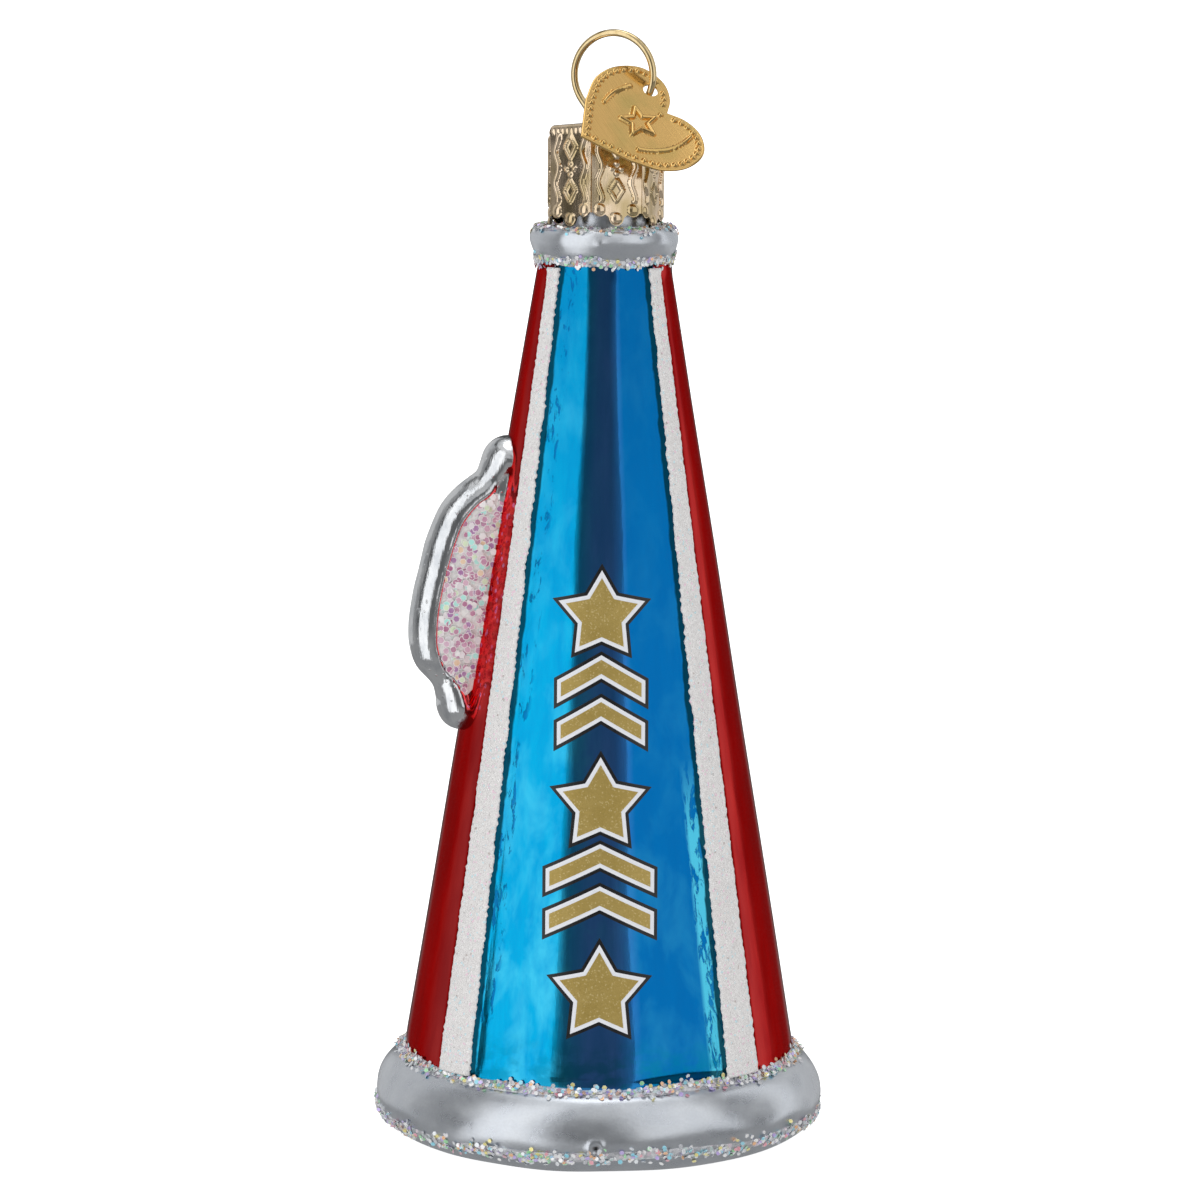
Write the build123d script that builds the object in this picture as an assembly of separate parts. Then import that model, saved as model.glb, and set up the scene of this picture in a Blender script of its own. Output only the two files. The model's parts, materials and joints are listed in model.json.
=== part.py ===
from build123d import *
import math
import os

# A blown-glass hanging ornament in the shape of a cheer megaphone, in millimetres.
# It stands mouth down on its bell. The origin is the centre of the base, +Z is up and the
# printed front faces -Y. Radii are measured from the vertical axis.

# Cone and rims of the glass body
CONE_TOP_R = 7.5
CONE_TOP_Z = 95.5
CONE_FOOT_R = 21.8
CONE_FOOT_Z = 9.2
GLASS_WALL = 1.0
BASE_OUTER_R = 20.6
BASE_INNER_R = 18.2
BASE_DOME = 2.4
VALLEY_R = 6.1
VALLEY_Z = 98.95
NECK_R = 4.55
NECK_BORE_R = 3.8
NECK_TOP_Z = 110.2
NECK_LIP_ROUND = 0.3
NECK_FOOT_ROUND = 0.5
CORNER_ARC = 1 - math.sqrt(0.5)

# Rolled rims, as (radius, height) points of their outer and inner surfaces
MOUTH_ROLL = [(6.1, 99.05), (6.6, 100.2), (7.15, 100.9), (7.75, 100.6), (8.1, 99.75),
              (7.85, 98.4), (7.45, 97.3)]
BELL_ROLL = [(23.1, 8.3), (24.45, 6.3), (24.9, 3.9), (24.3, 2.0), (22.9, 0.7)]
BELL_ROLL_INSIDE = [(22.5, 7.5), (23.5, 5.8), (23.9, 3.9), (23.35, 2.5), (22.3, 1.6)]
CEILING_R = 6.2
CEILING_BEND = (6.6, 97.2)
BELL_INSIDE_DROP = 0.8

# Moulded handle, drawn in the upright plane through the axis; azimuths run from the front
HANDLE_AZIMUTH = -76.0
BAR_R = 1.5
BAR_ROUTE = [(9.2, 76.6), (15.8, 71.0), (18.6, 64.6), (20.2, 57.0), (19.5, 53.9),
             (17.1, 50.6), (16.8, 48.2), (14.4, 46.0)]
BAR_BENDS = [6.0, 10.0, 4.0, 4.0, 3.0, 3.0]
WEB_THICKNESS = 2.0
WEB_OUTLINE = [(9.8, 73.0), (14.4, 71.9), (16.2, 70.2), (18.6, 64.2), (20.0, 57.2), (19.4, 54.2),
               (17.1, 50.8), (16.8, 48.2), (15.8, 47.0), (14.2, 47.0)]
UPPER_PAD = [(10.9, 76.0), (11.8, 71.6)]
UPPER_PAD_R = 1.6
LOWER_PAD = [(16.4, 48.0), (15.9, 46.6)]
LOWER_PAD_R = 1.4

# Glitter and printed decoration
STRIPE_INNER = 40.0
STRIPE_OUTER = 52.8
STRIPE_THICKNESS = 0.4
STRIPE_FOOT_GAP = 0.8
STRIPE_TOP_GAP = 0.3
HANDLE_GLITTER = 0.45
HANDLE_GLITTER_PATCH = [(11.6, 71.2), (14.2, 70.4), (16.4, 67.2), (17.7, 62.6), (18.5, 57.6),
                        (18.2, 55.0), (16.6, 51.4), (14.6, 50.4)]
GLITTER_BEADS = {"mouth_glitter_top": (7.35, 100.35, 0.85), "mouth_glitter_bottom": (7.1, 97.15, 0.85),
                 "bell_glitter_top": (21.75, 9.0, 0.95), "bell_glitter_bottom": (23.15, 2.5, 2.0)}
PRINT_THICKNESS = 0.1
EMBLEM_COUNT = 5
EMBLEM_TOP_Z = 60.0
EMBLEM_PITCH = 10.05
EMBLEM_REACH = 7.0
STAR_R = 5.6
STAR_GROWTH = 0.1
STAR_WAIST = 0.55
STAR_DROP = 0.4
CHEVRON_WIDTH = 9.1
CHEVRON_GROWTH = 1.1
CHEVRON_FEET = (-4.9, -0.4)
CHEVRON_BAND = 3.3
CHEVRON_RISE = 3.0

# Stamped cap: seven flat petals folded down from a top plate, leaning back on the neck
PETALS = 7
CAP_LEAN = 8.0
CAP_PIVOT_Y = 0.13
CAP_PIVOT_Z = 106.4
CAP_CORNER_R = 6.64
CAP_FIRST_SEAM = -13.1
CAP_TOP = 5.2
CAP_SIDE_FOOT = -4.6
CAP_TONGUE_FOOT = -6.0
CAP_SHEET = 0.22
CAP_EDGE_ROUND = 0.6
CAP_CORNER_ROUND = 0.5
CAP_HOLE_R = 1.65
SLIT_WIDTH = 0.2
SLIT_TOP = 4.3
BOSS_R = 0.62
BOSS_RISE = 0.28
CORNER_BOSS = (1.85, -4.25)
CORNER_FOOT_R = 0.78
TONGUE_BOSS_Z = -5.2
TONGUE_ROOT_HALF = 1.5
TONGUE_TIP_HALF = 0.75

# Hanger wire: a ring over the cap and two legs inside the neck
WIRE_R = 0.4
RING_R = 4.6
RING_SIDE = 0.95
RING_Z = 117.3
RING_YAW = -21.0
WAIST_SIDE = 0.46
WAIST_ROUND = 1.3
LEG_SPREAD = 2.5
LEG_FOOT = -5.0

# Heart tag, held by the ring through a hole in its upper lobe
TAG_THICKNESS = 0.28
TAG_HOLE_R = 1.05
TAG_HOLE = (-3.45, 11.4)
TAG_FLANK = (4.6, 3.45)
TAG_FLANK_BEND = (7.1, 6.5)
TAG_WIDEST = (7.65, 9.0)
TAG_LOBE_BEND = (6.4, 12.3)
TAG_CREST = (3.7, 13.4)
TAG_NOTCH_BEND = (1.5, 12.8)
TAG_NOTCH = (0, 11.5)
TAG_RING_ANGLE = -25.0
TAG_ACROSS = (0.511, -0.506, -0.695)
TAG_FACE = (0.272, -0.672, 0.689)
TAG_LIFT = 0.3


def cone_r(z):
    """Outer radius of the cone at height z."""
    slope = (CONE_FOOT_R - CONE_TOP_R) / (CONE_TOP_Z - CONE_FOOT_Z)
    return CONE_TOP_R + slope * (CONE_TOP_Z - z)


def radial_plane(azimuth):
    """Upright plane through the axis: local x is the radius at the azimuth, local y is height."""
    angle = math.radians(azimuth)
    outward = Vector(math.sin(angle), -math.cos(angle), 0)
    return Plane(origin=(0, 0, 0), x_dir=outward, z_dir=outward.cross(Vector(0, 0, 1)))


def turned(outline):
    """Full turn of an outline of (radius, height) lines."""
    return revolve(make_face(Plane.XZ * outline), Axis.Z)


def dome_arc(foot_z):
    """Shallow spherical dome of the closed base, from its foot to the axis."""
    sphere_r = (BASE_INNER_R ** 2 + BASE_DOME ** 2) / (2 * BASE_DOME)
    middle_r = BASE_INNER_R / 2
    drop = sphere_r - math.sqrt(sphere_r ** 2 - middle_r ** 2)
    return ThreePointArc((BASE_INNER_R, foot_z), (middle_r, foot_z + BASE_DOME - drop),
                         (0, foot_z + BASE_DOME))


def glass_outside():
    """Everything inside the outer surface of cone, rims and neck, as one full solid."""
    lip, foot = NECK_LIP_ROUND, NECK_FOOT_ROUND
    outline = Curve() + [
        Line((0, NECK_TOP_Z), (NECK_R - lip, NECK_TOP_Z)),
        ThreePointArc((NECK_R - lip, NECK_TOP_Z),
                      (NECK_R - lip * CORNER_ARC, NECK_TOP_Z - lip * CORNER_ARC),
                      (NECK_R, NECK_TOP_Z - lip)),
        Line((NECK_R, NECK_TOP_Z - lip), (NECK_R, VALLEY_Z + foot)),
        ThreePointArc((NECK_R, VALLEY_Z + foot),
                      (NECK_R + foot * CORNER_ARC, VALLEY_Z + foot * CORNER_ARC),
                      (NECK_R + foot, VALLEY_Z)),
        Line((NECK_R + foot, VALLEY_Z), MOUTH_ROLL[0]),
        Spline(MOUTH_ROLL + [(CONE_TOP_R, CONE_TOP_Z)], tangents=[(1, 0.8), (0.16, -1)]),
        Line((CONE_TOP_R, CONE_TOP_Z), (CONE_FOOT_R, CONE_FOOT_Z)),
        Spline([(CONE_FOOT_R, CONE_FOOT_Z)] + BELL_ROLL + [(BASE_OUTER_R, 0)],
               tangents=[(0.5, -1), (-1, 0)]),
        Line((BASE_OUTER_R, 0), (BASE_INNER_R, 0)),
        dome_arc(0),
        Line((0, BASE_DOME), (0, NECK_TOP_Z)),
    ]
    return turned(outline)


def glass_inside():
    """The hollow of the blown body, open at the top of the neck."""
    dome = BASE_DOME + GLASS_WALL
    above_neck = NECK_TOP_Z + 1
    ceiling_z = VALLEY_Z - GLASS_WALL
    cone_head = (CONE_TOP_R - GLASS_WALL, CONE_TOP_Z)
    cone_foot = (CONE_FOOT_R - GLASS_WALL, CONE_FOOT_Z - BELL_INSIDE_DROP)
    outline = Curve() + [
        Polyline((0, dome), (0, above_neck), (NECK_BORE_R, above_neck), (NECK_BORE_R, ceiling_z),
                 (CEILING_R, ceiling_z - 0.2)),
        ThreePointArc((CEILING_R, ceiling_z - 0.2), CEILING_BEND, cone_head),
        Line(cone_head, cone_foot),
        Spline([cone_foot] + BELL_ROLL_INSIDE + [(BASE_OUTER_R, GLASS_WALL)]),
        Line((BASE_OUTER_R, GLASS_WALL), (BASE_INNER_R, GLASS_WALL)),
        dome_arc(GLASS_WALL),
    ]
    return turned(outline)


def capsule(start, end, radius):
    """Round-ended bar between two points."""
    run = Line(start, end)
    bar = sweep(Plane(origin=run @ 0, z_dir=run % 0) * Circle(radius), path=run)
    return bar + Pos(*start) * Sphere(radius) + Pos(*end) * Sphere(radius)


def handle(plane):
    """Moulded grip: a bent bar on two root pads, with a thin web closing the gap behind it."""
    route = plane * FilletPolyline(*BAR_ROUTE, radius=BAR_BENDS)
    bar = sweep(Plane(origin=route @ 0, z_dir=route % 0) * Circle(BAR_R), path=route)
    web = extrude(plane * make_face(Polyline(*WEB_OUTLINE, close=True)), WEB_THICKNESS / 2, both=True)
    upper = capsule(*[plane.from_local_coords(Vector(r, z, 0)) for r, z in UPPER_PAD], UPPER_PAD_R)
    lower = capsule(*[plane.from_local_coords(Vector(r, z, 0)) for r, z in LOWER_PAD], LOWER_PAD_R)
    return bar + web + upper + lower


def stripe(azimuth):
    """One raised glitter stripe on the cone, from the bell rim to the mouth rim."""
    low, high = CONE_FOOT_Z + STRIPE_FOOT_GAP, CONE_TOP_Z - STRIPE_TOP_GAP
    section = Polyline((cone_r(low), low), (cone_r(high), high), (cone_r(high) + STRIPE_THICKNESS, high),
                       (cone_r(low) + STRIPE_THICKNESS, low), close=True)
    face = make_face(radial_plane(azimuth) * section)
    return revolve(face, Axis.Z, revolution_arc=STRIPE_OUTER - STRIPE_INNER)


def glitter_bead(radius, height, size, outside):
    """Ring of glitter glue: a round bead, centred inside the glass, that stands out of it."""
    return turned(Pos(radius, height) * Circle(size).edges()[0]) - outside


def handle_glitter(plane, side, outside):
    """Layer of glitter flakes over one face of the handle's web; side is 1 or -1."""
    patch = Polyline(*HANDLE_GLITTER_PATCH, close=True)
    layer = extrude(plane * make_face(patch), side * (WEB_THICKNESS / 2 + HANDLE_GLITTER))
    web = extrude(plane * make_face(patch), side * WEB_THICKNESS / 2)
    return layer - web - outside


def star_outline(radius):
    """Five-pointed star, point up."""
    inner = radius * STAR_WAIST
    corners = []
    for step in range(10):
        angle = math.radians(90 + 36 * step)
        reach = radius if step % 2 == 0 else inner
        corners.append((reach * math.cos(angle), reach * math.sin(angle)))
    return make_face(Polyline(*corners, close=True))


def chevron_outline(width):
    """Two nested chevrons, point up."""
    half = width / 2
    shape = Sketch()
    for foot in CHEVRON_FEET:
        top = foot + CHEVRON_BAND
        shape += make_face(Polyline((-half, foot), (0, foot + CHEVRON_RISE), (half, foot),
                                    (half, top), (0, top + CHEVRON_RISE), (-half, top), close=True))
    return shape


def emblem(index):
    """One printed emblem of the column, alternately a star and a double chevron."""
    height = EMBLEM_TOP_Z - EMBLEM_PITCH * index
    if index % 2 == 0:
        shape = Pos(0, -STAR_DROP) * star_outline(STAR_R + STAR_GROWTH * index)
    else:
        shape = chevron_outline(CHEVRON_WIDTH + CHEVRON_GROWTH * index)
    stamp = extrude(Plane.XZ * Pos(0, height) * shape, BASE_OUTER_R * 2)
    low, high = height - EMBLEM_REACH, height + EMBLEM_REACH
    coat = turned(Polyline((cone_r(low), low), (cone_r(high), high),
                           (cone_r(high) + PRINT_THICKNESS, high),
                           (cone_r(low) + PRINT_THICKNESS, low), close=True))
    return stamp & coat


def cap_frame():
    """The cap's own frame: its axis leans back on the neck."""
    return Location((0, CAP_PIVOT_Y, CAP_PIVOT_Z), (-CAP_LEAN, 0, 0))


def petal_frame(index):
    """Upright frame on the middle of one petal's face: x across, y up, z outward."""
    azimuth = CAP_FIRST_SEAM + 360 / PETALS * (index + 0.5)
    angle = math.radians(azimuth)
    outward = Vector(math.sin(angle), -math.cos(angle), 0)
    apothem = CAP_CORNER_R * math.cos(math.pi / PETALS)
    return Plane(origin=outward * apothem, x_dir=Vector(0, 0, 1).cross(outward), z_dir=outward)


def heptagon(inset):
    """Plan of the cap, its sheet inset by a distance, with a corner on the first seam."""
    radius = CAP_CORNER_R - inset / math.cos(math.pi / PETALS)
    plan = RegularPolygon(radius, PETALS, rotation=CAP_FIRST_SEAM - 90)
    return fillet(plan.vertices(), CAP_CORNER_ROUND - inset / 2)


def cap():
    """Stamped cap: top plate with one hole, seven slit petals with lobed feet and round bosses."""
    block = extrude(Pos(0, 0, CAP_TONGUE_FOOT) * heptagon(0), CAP_TOP - CAP_TONGUE_FOOT)
    block = fillet(block.faces().sort_by(Axis.Z)[-1].edges(), CAP_EDGE_ROUND)
    room = extrude(Pos(0, 0, CAP_TONGUE_FOOT - 1) * heptagon(CAP_SHEET),
                   CAP_TOP - CAP_SHEET - CAP_TONGUE_FOOT + 1)
    room = fillet(room.faces().sort_by(Axis.Z)[-1].edges(), CAP_EDGE_ROUND - CAP_SHEET)
    sheet = block - room
    foot_band = Pos(0, 0, CAP_SIDE_FOOT - 2) * Cylinder(10, 4)
    upper_sheet = sheet - foot_band
    lobes = Part()
    bosses = Part()
    for index in range(PETALS):
        frame = petal_frame(index)
        side, corner_z = CORNER_BOSS
        feet = Pos(-side, corner_z) * Circle(CORNER_FOOT_R) + Pos(side, corner_z) * Circle(CORNER_FOOT_R)
        feet += Pos(0, TONGUE_BOSS_Z) * Circle(TONGUE_BOSS_Z - CAP_TONGUE_FOOT)
        root_z = CAP_SIDE_FOOT + 0.3
        feet += make_face(Polyline((-TONGUE_ROOT_HALF, root_z), (TONGUE_ROOT_HALF, root_z),
                                   (TONGUE_TIP_HALF, TONGUE_BOSS_Z), (-TONGUE_TIP_HALF, TONGUE_BOSS_Z),
                                   close=True))
        lobes += extrude(frame * feet, -CAP_SHEET)
        for x, z in ((-side, corner_z), (side, corner_z), (0, TONGUE_BOSS_Z)):
            bosses += frame * Pos(x, z, BOSS_RISE - BOSS_R) * Sphere(BOSS_R)
    skin = extrude(Pos(0, 0, CAP_TONGUE_FOOT - 1) * heptagon(0), CAP_TOP) - room
    outer_bosses = bosses - room
    body = upper_sheet + (lobes & skin) + outer_bosses
    for index in range(PETALS):
        azimuth = CAP_FIRST_SEAM + 360 / PETALS * index
        slit = Pos(CAP_CORNER_R, 0, (SLIT_TOP - 8) / 2) * Box(3, SLIT_WIDTH, SLIT_TOP + 8)
        body -= Rot(0, 0, azimuth - 90) * slit
    body -= Pos(0, 0, CAP_TOP) * Cylinder(CAP_HOLE_R, 2)
    return cap_frame() * body


def ring_point(side, height):
    """Point of the ring's upright plane, side mm from the wire's waist."""
    yaw = math.radians(RING_YAW)
    waist = waist_centre()
    return Vector(waist.X + side * math.cos(yaw), waist.Y + side * math.sin(yaw), height)


def waist_centre():
    """Where the two strands of the wire pass through the hole in the cap's top plate."""
    return (cap_frame() * Pos(0, 0, CAP_TOP - CAP_SHEET / 2)).position


def leg_foot(side):
    """Lower end of a leg, inside the neck."""
    yaw = math.radians(RING_YAW)
    local = Pos(side * LEG_SPREAD * math.cos(yaw), side * LEG_SPREAD * math.sin(yaw), LEG_FOOT)
    return (cap_frame() * local).position


def tangent_point(side):
    """Where the straight strand from the waist meets the ring, on the given side."""
    away_x = side * WAIST_SIDE - RING_SIDE
    away_z = waist_centre().Z - RING_Z
    reach = math.hypot(away_x, away_z)
    turn = math.atan2(away_z, away_x) + side * math.acos(RING_R / reach)
    return ring_point(RING_SIDE + RING_R * math.cos(turn), RING_Z + RING_R * math.sin(turn))


def hanger_wire():
    """One bent wire: leg, waist, ring, waist, leg."""
    strands = []
    for side in (-1, 1):
        waist = ring_point(side * WAIST_SIDE, waist_centre().Z)
        strands.append(FilletPolyline(leg_foot(side), waist, tangent_point(side), radius=WAIST_ROUND))
    top = ring_point(RING_SIDE, RING_Z + RING_R)
    ring = ThreePointArc(tangent_point(-1), top, tangent_point(1))
    route = Wire(strands[0].edges() + [ring] + strands[1].edges())
    return sweep(Plane(origin=route @ 0, z_dir=route % 0) * Circle(WIRE_R), path=route)


def tag_hinge_point():
    """Point of the ring's centre line that the tag hangs on."""
    turn = math.radians(TAG_RING_ANGLE)
    return ring_point(RING_SIDE + RING_R * math.cos(turn), RING_Z + RING_R * math.sin(turn))


def heart_outline():
    """Heart with its tip at the origin and its notch up."""
    half = Curve() + [
        Line((0, 0), TAG_FLANK),
        ThreePointArc(TAG_FLANK, TAG_FLANK_BEND, TAG_WIDEST),
        ThreePointArc(TAG_WIDEST, TAG_LOBE_BEND, TAG_CREST),
        ThreePointArc(TAG_CREST, TAG_NOTCH_BEND, TAG_NOTCH),
    ]
    return make_face(half + mirror(half, Plane.YZ))


def heart_tag():
    """Thin stamped heart with one hole, leaning in front of the cap."""
    blank = heart_outline() - Pos(*TAG_HOLE) * Circle(TAG_HOLE_R)
    hole = Vector(TAG_HOLE[0], TAG_HOLE[1])
    face = Vector(*TAG_FACE).normalized()
    place = Plane(origin=tag_hinge_point() + face * TAG_LIFT, x_dir=Vector(*TAG_ACROSS), z_dir=face)
    return extrude(place * Pos(-hole.X, -hole.Y) * blank, TAG_THICKNESS / 2, both=True)


def build():
    """All sub-parts by node name."""
    plane = radial_plane(HANDLE_AZIMUTH)
    outside = glass_outside() + handle(plane)
    nodes = {"glass_body": outside - glass_inside()}
    nodes["stripe_front_right"] = stripe(STRIPE_INNER)
    nodes["stripe_front_left"] = stripe(-STRIPE_OUTER)
    nodes["stripe_back_right"] = stripe(180 - STRIPE_OUTER)
    nodes["stripe_back_left"] = stripe(180 + STRIPE_INNER)
    for name, (radius, height, size) in GLITTER_BEADS.items():
        nodes[name] = glitter_bead(radius, height, size, outside)
    nodes["handle_glitter_front"] = handle_glitter(plane, 1, outside)
    nodes["handle_glitter_back"] = handle_glitter(plane, -1, outside)
    for index in range(EMBLEM_COUNT):
        nodes[f"emblem_{index + 1}"] = emblem(index)
    nodes["cap"] = cap()
    nodes["hanger_wire"] = hanger_wire()
    nodes["heart_tag"] = heart_tag()
    return nodes


os.makedirs("parts", exist_ok=True)
for name, solid in build().items():
    export_step(solid, f"parts/{name}.step")
hinge = tag_hinge_point()
print("tag hinge point", round(hinge.X, 4), round(hinge.Y, 4), round(hinge.Z, 4))
axis_end = cap_frame() * Pos(0, 0, 1)
print("cap axis direction", [round(v, 6) for v in axis_end.position - cap_frame().position])
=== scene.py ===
"""Looks of a blown-glass megaphone ornament: silvered and lacquered glass, glitter, a stamped cap,
a wire ring and a heart tag. Lengths are in millimetres until mesh_object() turns them to metres.
Azimuths are in degrees from the front (-Y) towards +X."""
import json
import math

import bmesh
import bpy
import numpy as np
from mathutils import Matrix, Vector

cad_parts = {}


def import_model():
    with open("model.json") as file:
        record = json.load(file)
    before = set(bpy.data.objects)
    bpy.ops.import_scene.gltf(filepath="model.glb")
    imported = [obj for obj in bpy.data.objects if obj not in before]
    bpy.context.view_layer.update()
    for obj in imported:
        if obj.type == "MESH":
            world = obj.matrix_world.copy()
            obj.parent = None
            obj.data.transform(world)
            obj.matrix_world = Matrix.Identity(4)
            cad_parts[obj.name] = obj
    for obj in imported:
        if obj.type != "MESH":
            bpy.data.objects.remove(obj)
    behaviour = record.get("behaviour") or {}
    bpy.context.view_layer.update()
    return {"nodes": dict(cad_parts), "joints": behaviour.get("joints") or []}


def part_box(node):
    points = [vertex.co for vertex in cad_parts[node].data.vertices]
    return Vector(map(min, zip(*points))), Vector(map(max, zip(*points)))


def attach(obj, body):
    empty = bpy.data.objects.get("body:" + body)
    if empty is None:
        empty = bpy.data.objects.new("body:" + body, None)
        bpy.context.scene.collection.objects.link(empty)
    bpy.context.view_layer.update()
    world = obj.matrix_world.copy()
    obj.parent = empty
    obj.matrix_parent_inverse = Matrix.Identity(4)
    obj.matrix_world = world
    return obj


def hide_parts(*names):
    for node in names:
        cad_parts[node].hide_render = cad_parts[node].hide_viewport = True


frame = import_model()

MM = 0.001
joints = {joint["name"]: joint for joint in frame["joints"]}

# ---------------------------------------------------------------- glass, the CAD model's own sizes
CONE_TOP = (7.5, 95.5)
CONE_FOOT = (21.8, 9.2)
WALL = 1.0
BASE_OUTER_R = 20.6
BASE_INNER_R = 18.2
BASE_DOME = 2.4
MOUTH_ROLL = [(7.45, 97.3), (7.85, 98.4), (8.1, 99.75), (7.75, 100.6), (7.15, 100.9), (6.6, 100.2),
              (6.1, 99.05)]
BELL_ROLL = [(22.9, 0.7), (24.3, 2.0), (24.9, 3.9), (24.45, 6.3), (23.1, 8.3)]
BELL_ROLL_INSIDE = [(22.5, 7.5), (23.5, 5.8), (23.9, 3.9), (23.35, 2.5), (22.3, 1.6)]
VALLEY_Z = 98.95
NECK_R = 4.55
NECK_BORE_R = 3.8
NECK_TOP_Z = 110.2
STRIPE_AZIMUTH = 46.4
STRIPE_HALF = 6.4
STRIPE_MIDDLES = {"stripe_front_right": STRIPE_AZIMUTH, "stripe_front_left": -STRIPE_AZIMUTH,
                  "stripe_back_right": 180 - STRIPE_AZIMUTH, "stripe_back_left": STRIPE_AZIMUTH - 180}
HANDLE_AZIMUTH = -76.0
DOME_STEP = 1.5

# ---------------------------------------------------------------- small geometry tools


def placed(mesh):
    """A new object that shows a mesh."""
    piece = bpy.data.objects.new(mesh.name, mesh)
    bpy.context.scene.collection.objects.link(piece)
    return piece


def mesh_object(name, points, faces, materials, face_slots=None, smooth=True):
    """A mesh piece from points in millimetres."""
    mesh = bpy.data.meshes.new(name)
    mesh.from_pydata((np.asarray(points, float) * MM).tolist(), [], [list(map(int, f)) for f in faces])
    for material in materials:
        mesh.materials.append(material)
    if face_slots is not None:
        mesh.polygons.foreach_set("material_index", np.asarray(face_slots, np.int32))
    mesh.polygons.foreach_set("use_smooth", np.full(len(mesh.polygons), smooth))
    mesh.update()
    return placed(mesh)


def colour_attribute(piece, name, values):
    """Stores one colour for each point of a mesh piece."""
    attribute = piece.data.attributes.new(name, "FLOAT_COLOR", "POINT")
    attribute.data.foreach_set("color", np.asarray(values, np.float32).ravel())


def mend(mesh, weld=0.0):
    """Welds points closer than a distance and turns every face outwards."""
    work = bmesh.new()
    work.from_mesh(mesh)
    if weld:
        bmesh.ops.remove_doubles(work, verts=work.verts[:], dist=weld * MM)
    bmesh.ops.recalc_face_normals(work, faces=work.faces[:])
    work.to_mesh(mesh)
    work.free()


def apply_modifiers(piece):
    """Replaces a piece's mesh by its evaluated one."""
    graph = bpy.context.evaluated_depsgraph_get()
    made = bpy.data.meshes.new_from_object(piece.evaluated_get(graph))
    piece.modifiers.clear()
    piece.data = made
    made.polygons.foreach_set("use_smooth", np.full(len(made.polygons), True))


def grid_faces(rows, columns, closed_rows=False, closed_columns=False, start=0):
    """Quads of a grid of points stored row by row."""
    row = np.arange(rows if closed_rows else rows - 1)
    column = np.arange(columns if closed_columns else columns - 1)
    r, c = np.meshgrid(row, column, indexing="ij")
    r2, c2 = (r + 1) % rows, (c + 1) % columns
    quads = np.stack([r * columns + c, r * columns + c2, r2 * columns + c2, r2 * columns + c], -1)
    return (quads.reshape(-1, 4) + start).tolist()


def unit(vectors):
    """Vectors scaled to a length of one."""
    return vectors / np.linalg.norm(vectors, axis=-1, keepdims=True)


def turned(azimuth, radius, height):
    """Points at an azimuth, radius and height round the glass's axis."""
    angle = np.radians(azimuth)
    return np.stack([radius * np.sin(angle), -radius * np.cos(angle), height + 0 * angle], -1)


def run_lengths(points):
    """How far each point of a line lies along it."""
    return np.concatenate([[0], np.cumsum(np.linalg.norm(np.diff(points, axis=0), axis=1))])


def smooth_line(points, step):
    """Points about step apart on a smooth curve through the given points."""
    points = np.asarray(points, float)
    chord = np.linalg.norm(np.diff(points, axis=0), axis=1)
    slopes = np.gradient(points, run_lengths(points), axis=0, edge_order=1)
    out = []
    for i, length in enumerate(chord):
        t = np.linspace(0, 1, max(2, int(length / step) + 1), endpoint=False)[:, None]
        ends = (2 * t**3 - 3 * t**2 + 1) * points[i] + (-2 * t**3 + 3 * t**2) * points[i + 1]
        bends = (t**3 - 2 * t**2 + t) * slopes[i] + (t**3 - t**2) * slopes[i + 1]
        out.append(ends + length * bends)
    return np.concatenate(out + [points[-1:]])


def waves(u, v, seed, u_lengths, v_lengths, count=7):
    """Smooth random waviness from -1 to 1, with wavelengths between the given pairs."""
    random = np.random.default_rng(seed)
    total = np.zeros(np.broadcast(u, v).shape)
    for _ in range(count):
        turn_u = 2 * math.pi / random.uniform(*u_lengths) * random.choice([-1, 1])
        turn_v = 2 * math.pi / random.uniform(*v_lengths)
        total += np.sin(u * turn_u + v * turn_v + random.uniform(0, 2 * math.pi))
    return total / math.sqrt(count) / 1.5


def cone_r(z):
    """Outer radius of the cone at a height."""
    return CONE_TOP[0] + (CONE_FOOT[0] - CONE_TOP[0]) * (CONE_TOP[1] - z) / (CONE_TOP[1] - CONE_FOOT[1])


def dome_line(foot_z):
    """Points of the closed base's shallow dome, from the axis to its foot."""
    sphere = (BASE_INNER_R**2 + BASE_DOME**2) / (2 * BASE_DOME)
    r = np.linspace(0.4, BASE_INNER_R, int(BASE_INNER_R / DOME_STEP))
    return np.stack([r, foot_z + BASE_DOME - (sphere - np.sqrt(sphere**2 - r**2))], 1)


def outer_profile():
    """(radius, height) points of the glass's outside, from the middle of the base to the neck's lip,
    with the zone of each: base, bell, cone, mouth or neck."""
    bell = smooth_line([(BASE_OUTER_R - 1.2, 0.0), (BASE_OUTER_R, 0.0)] + BELL_ROLL
                       + [CONE_FOOT, (cone_r(10.6), 10.6)], 0.32)
    cone_z = np.arange(11.2, 95.2, 0.62)
    mouth = smooth_line([(cone_r(95.3), 95.3)] + MOUTH_ROLL, 0.26)
    neck_z = np.arange(VALLEY_Z + 0.5, NECK_TOP_Z - 0.3, 0.6)
    neck = np.concatenate([[(5.6, VALLEY_Z), (5.05, VALLEY_Z), (4.72, VALLEY_Z + 0.15)],
                           np.stack([np.full(len(neck_z), NECK_R), neck_z], 1),
                           [(NECK_R, NECK_TOP_Z - 0.3), (NECK_R - 0.1, NECK_TOP_Z - 0.1),
                            (NECK_R - 0.3, NECK_TOP_Z)]])
    parts = {"base": dome_line(0), "bell": bell, "cone": np.stack([cone_r(cone_z), cone_z], 1),
             "mouth": mouth, "neck": neck}
    zones = [zone for zone, line in parts.items() for _ in line]
    return np.concatenate(list(parts.values())), np.array(zones)


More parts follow.
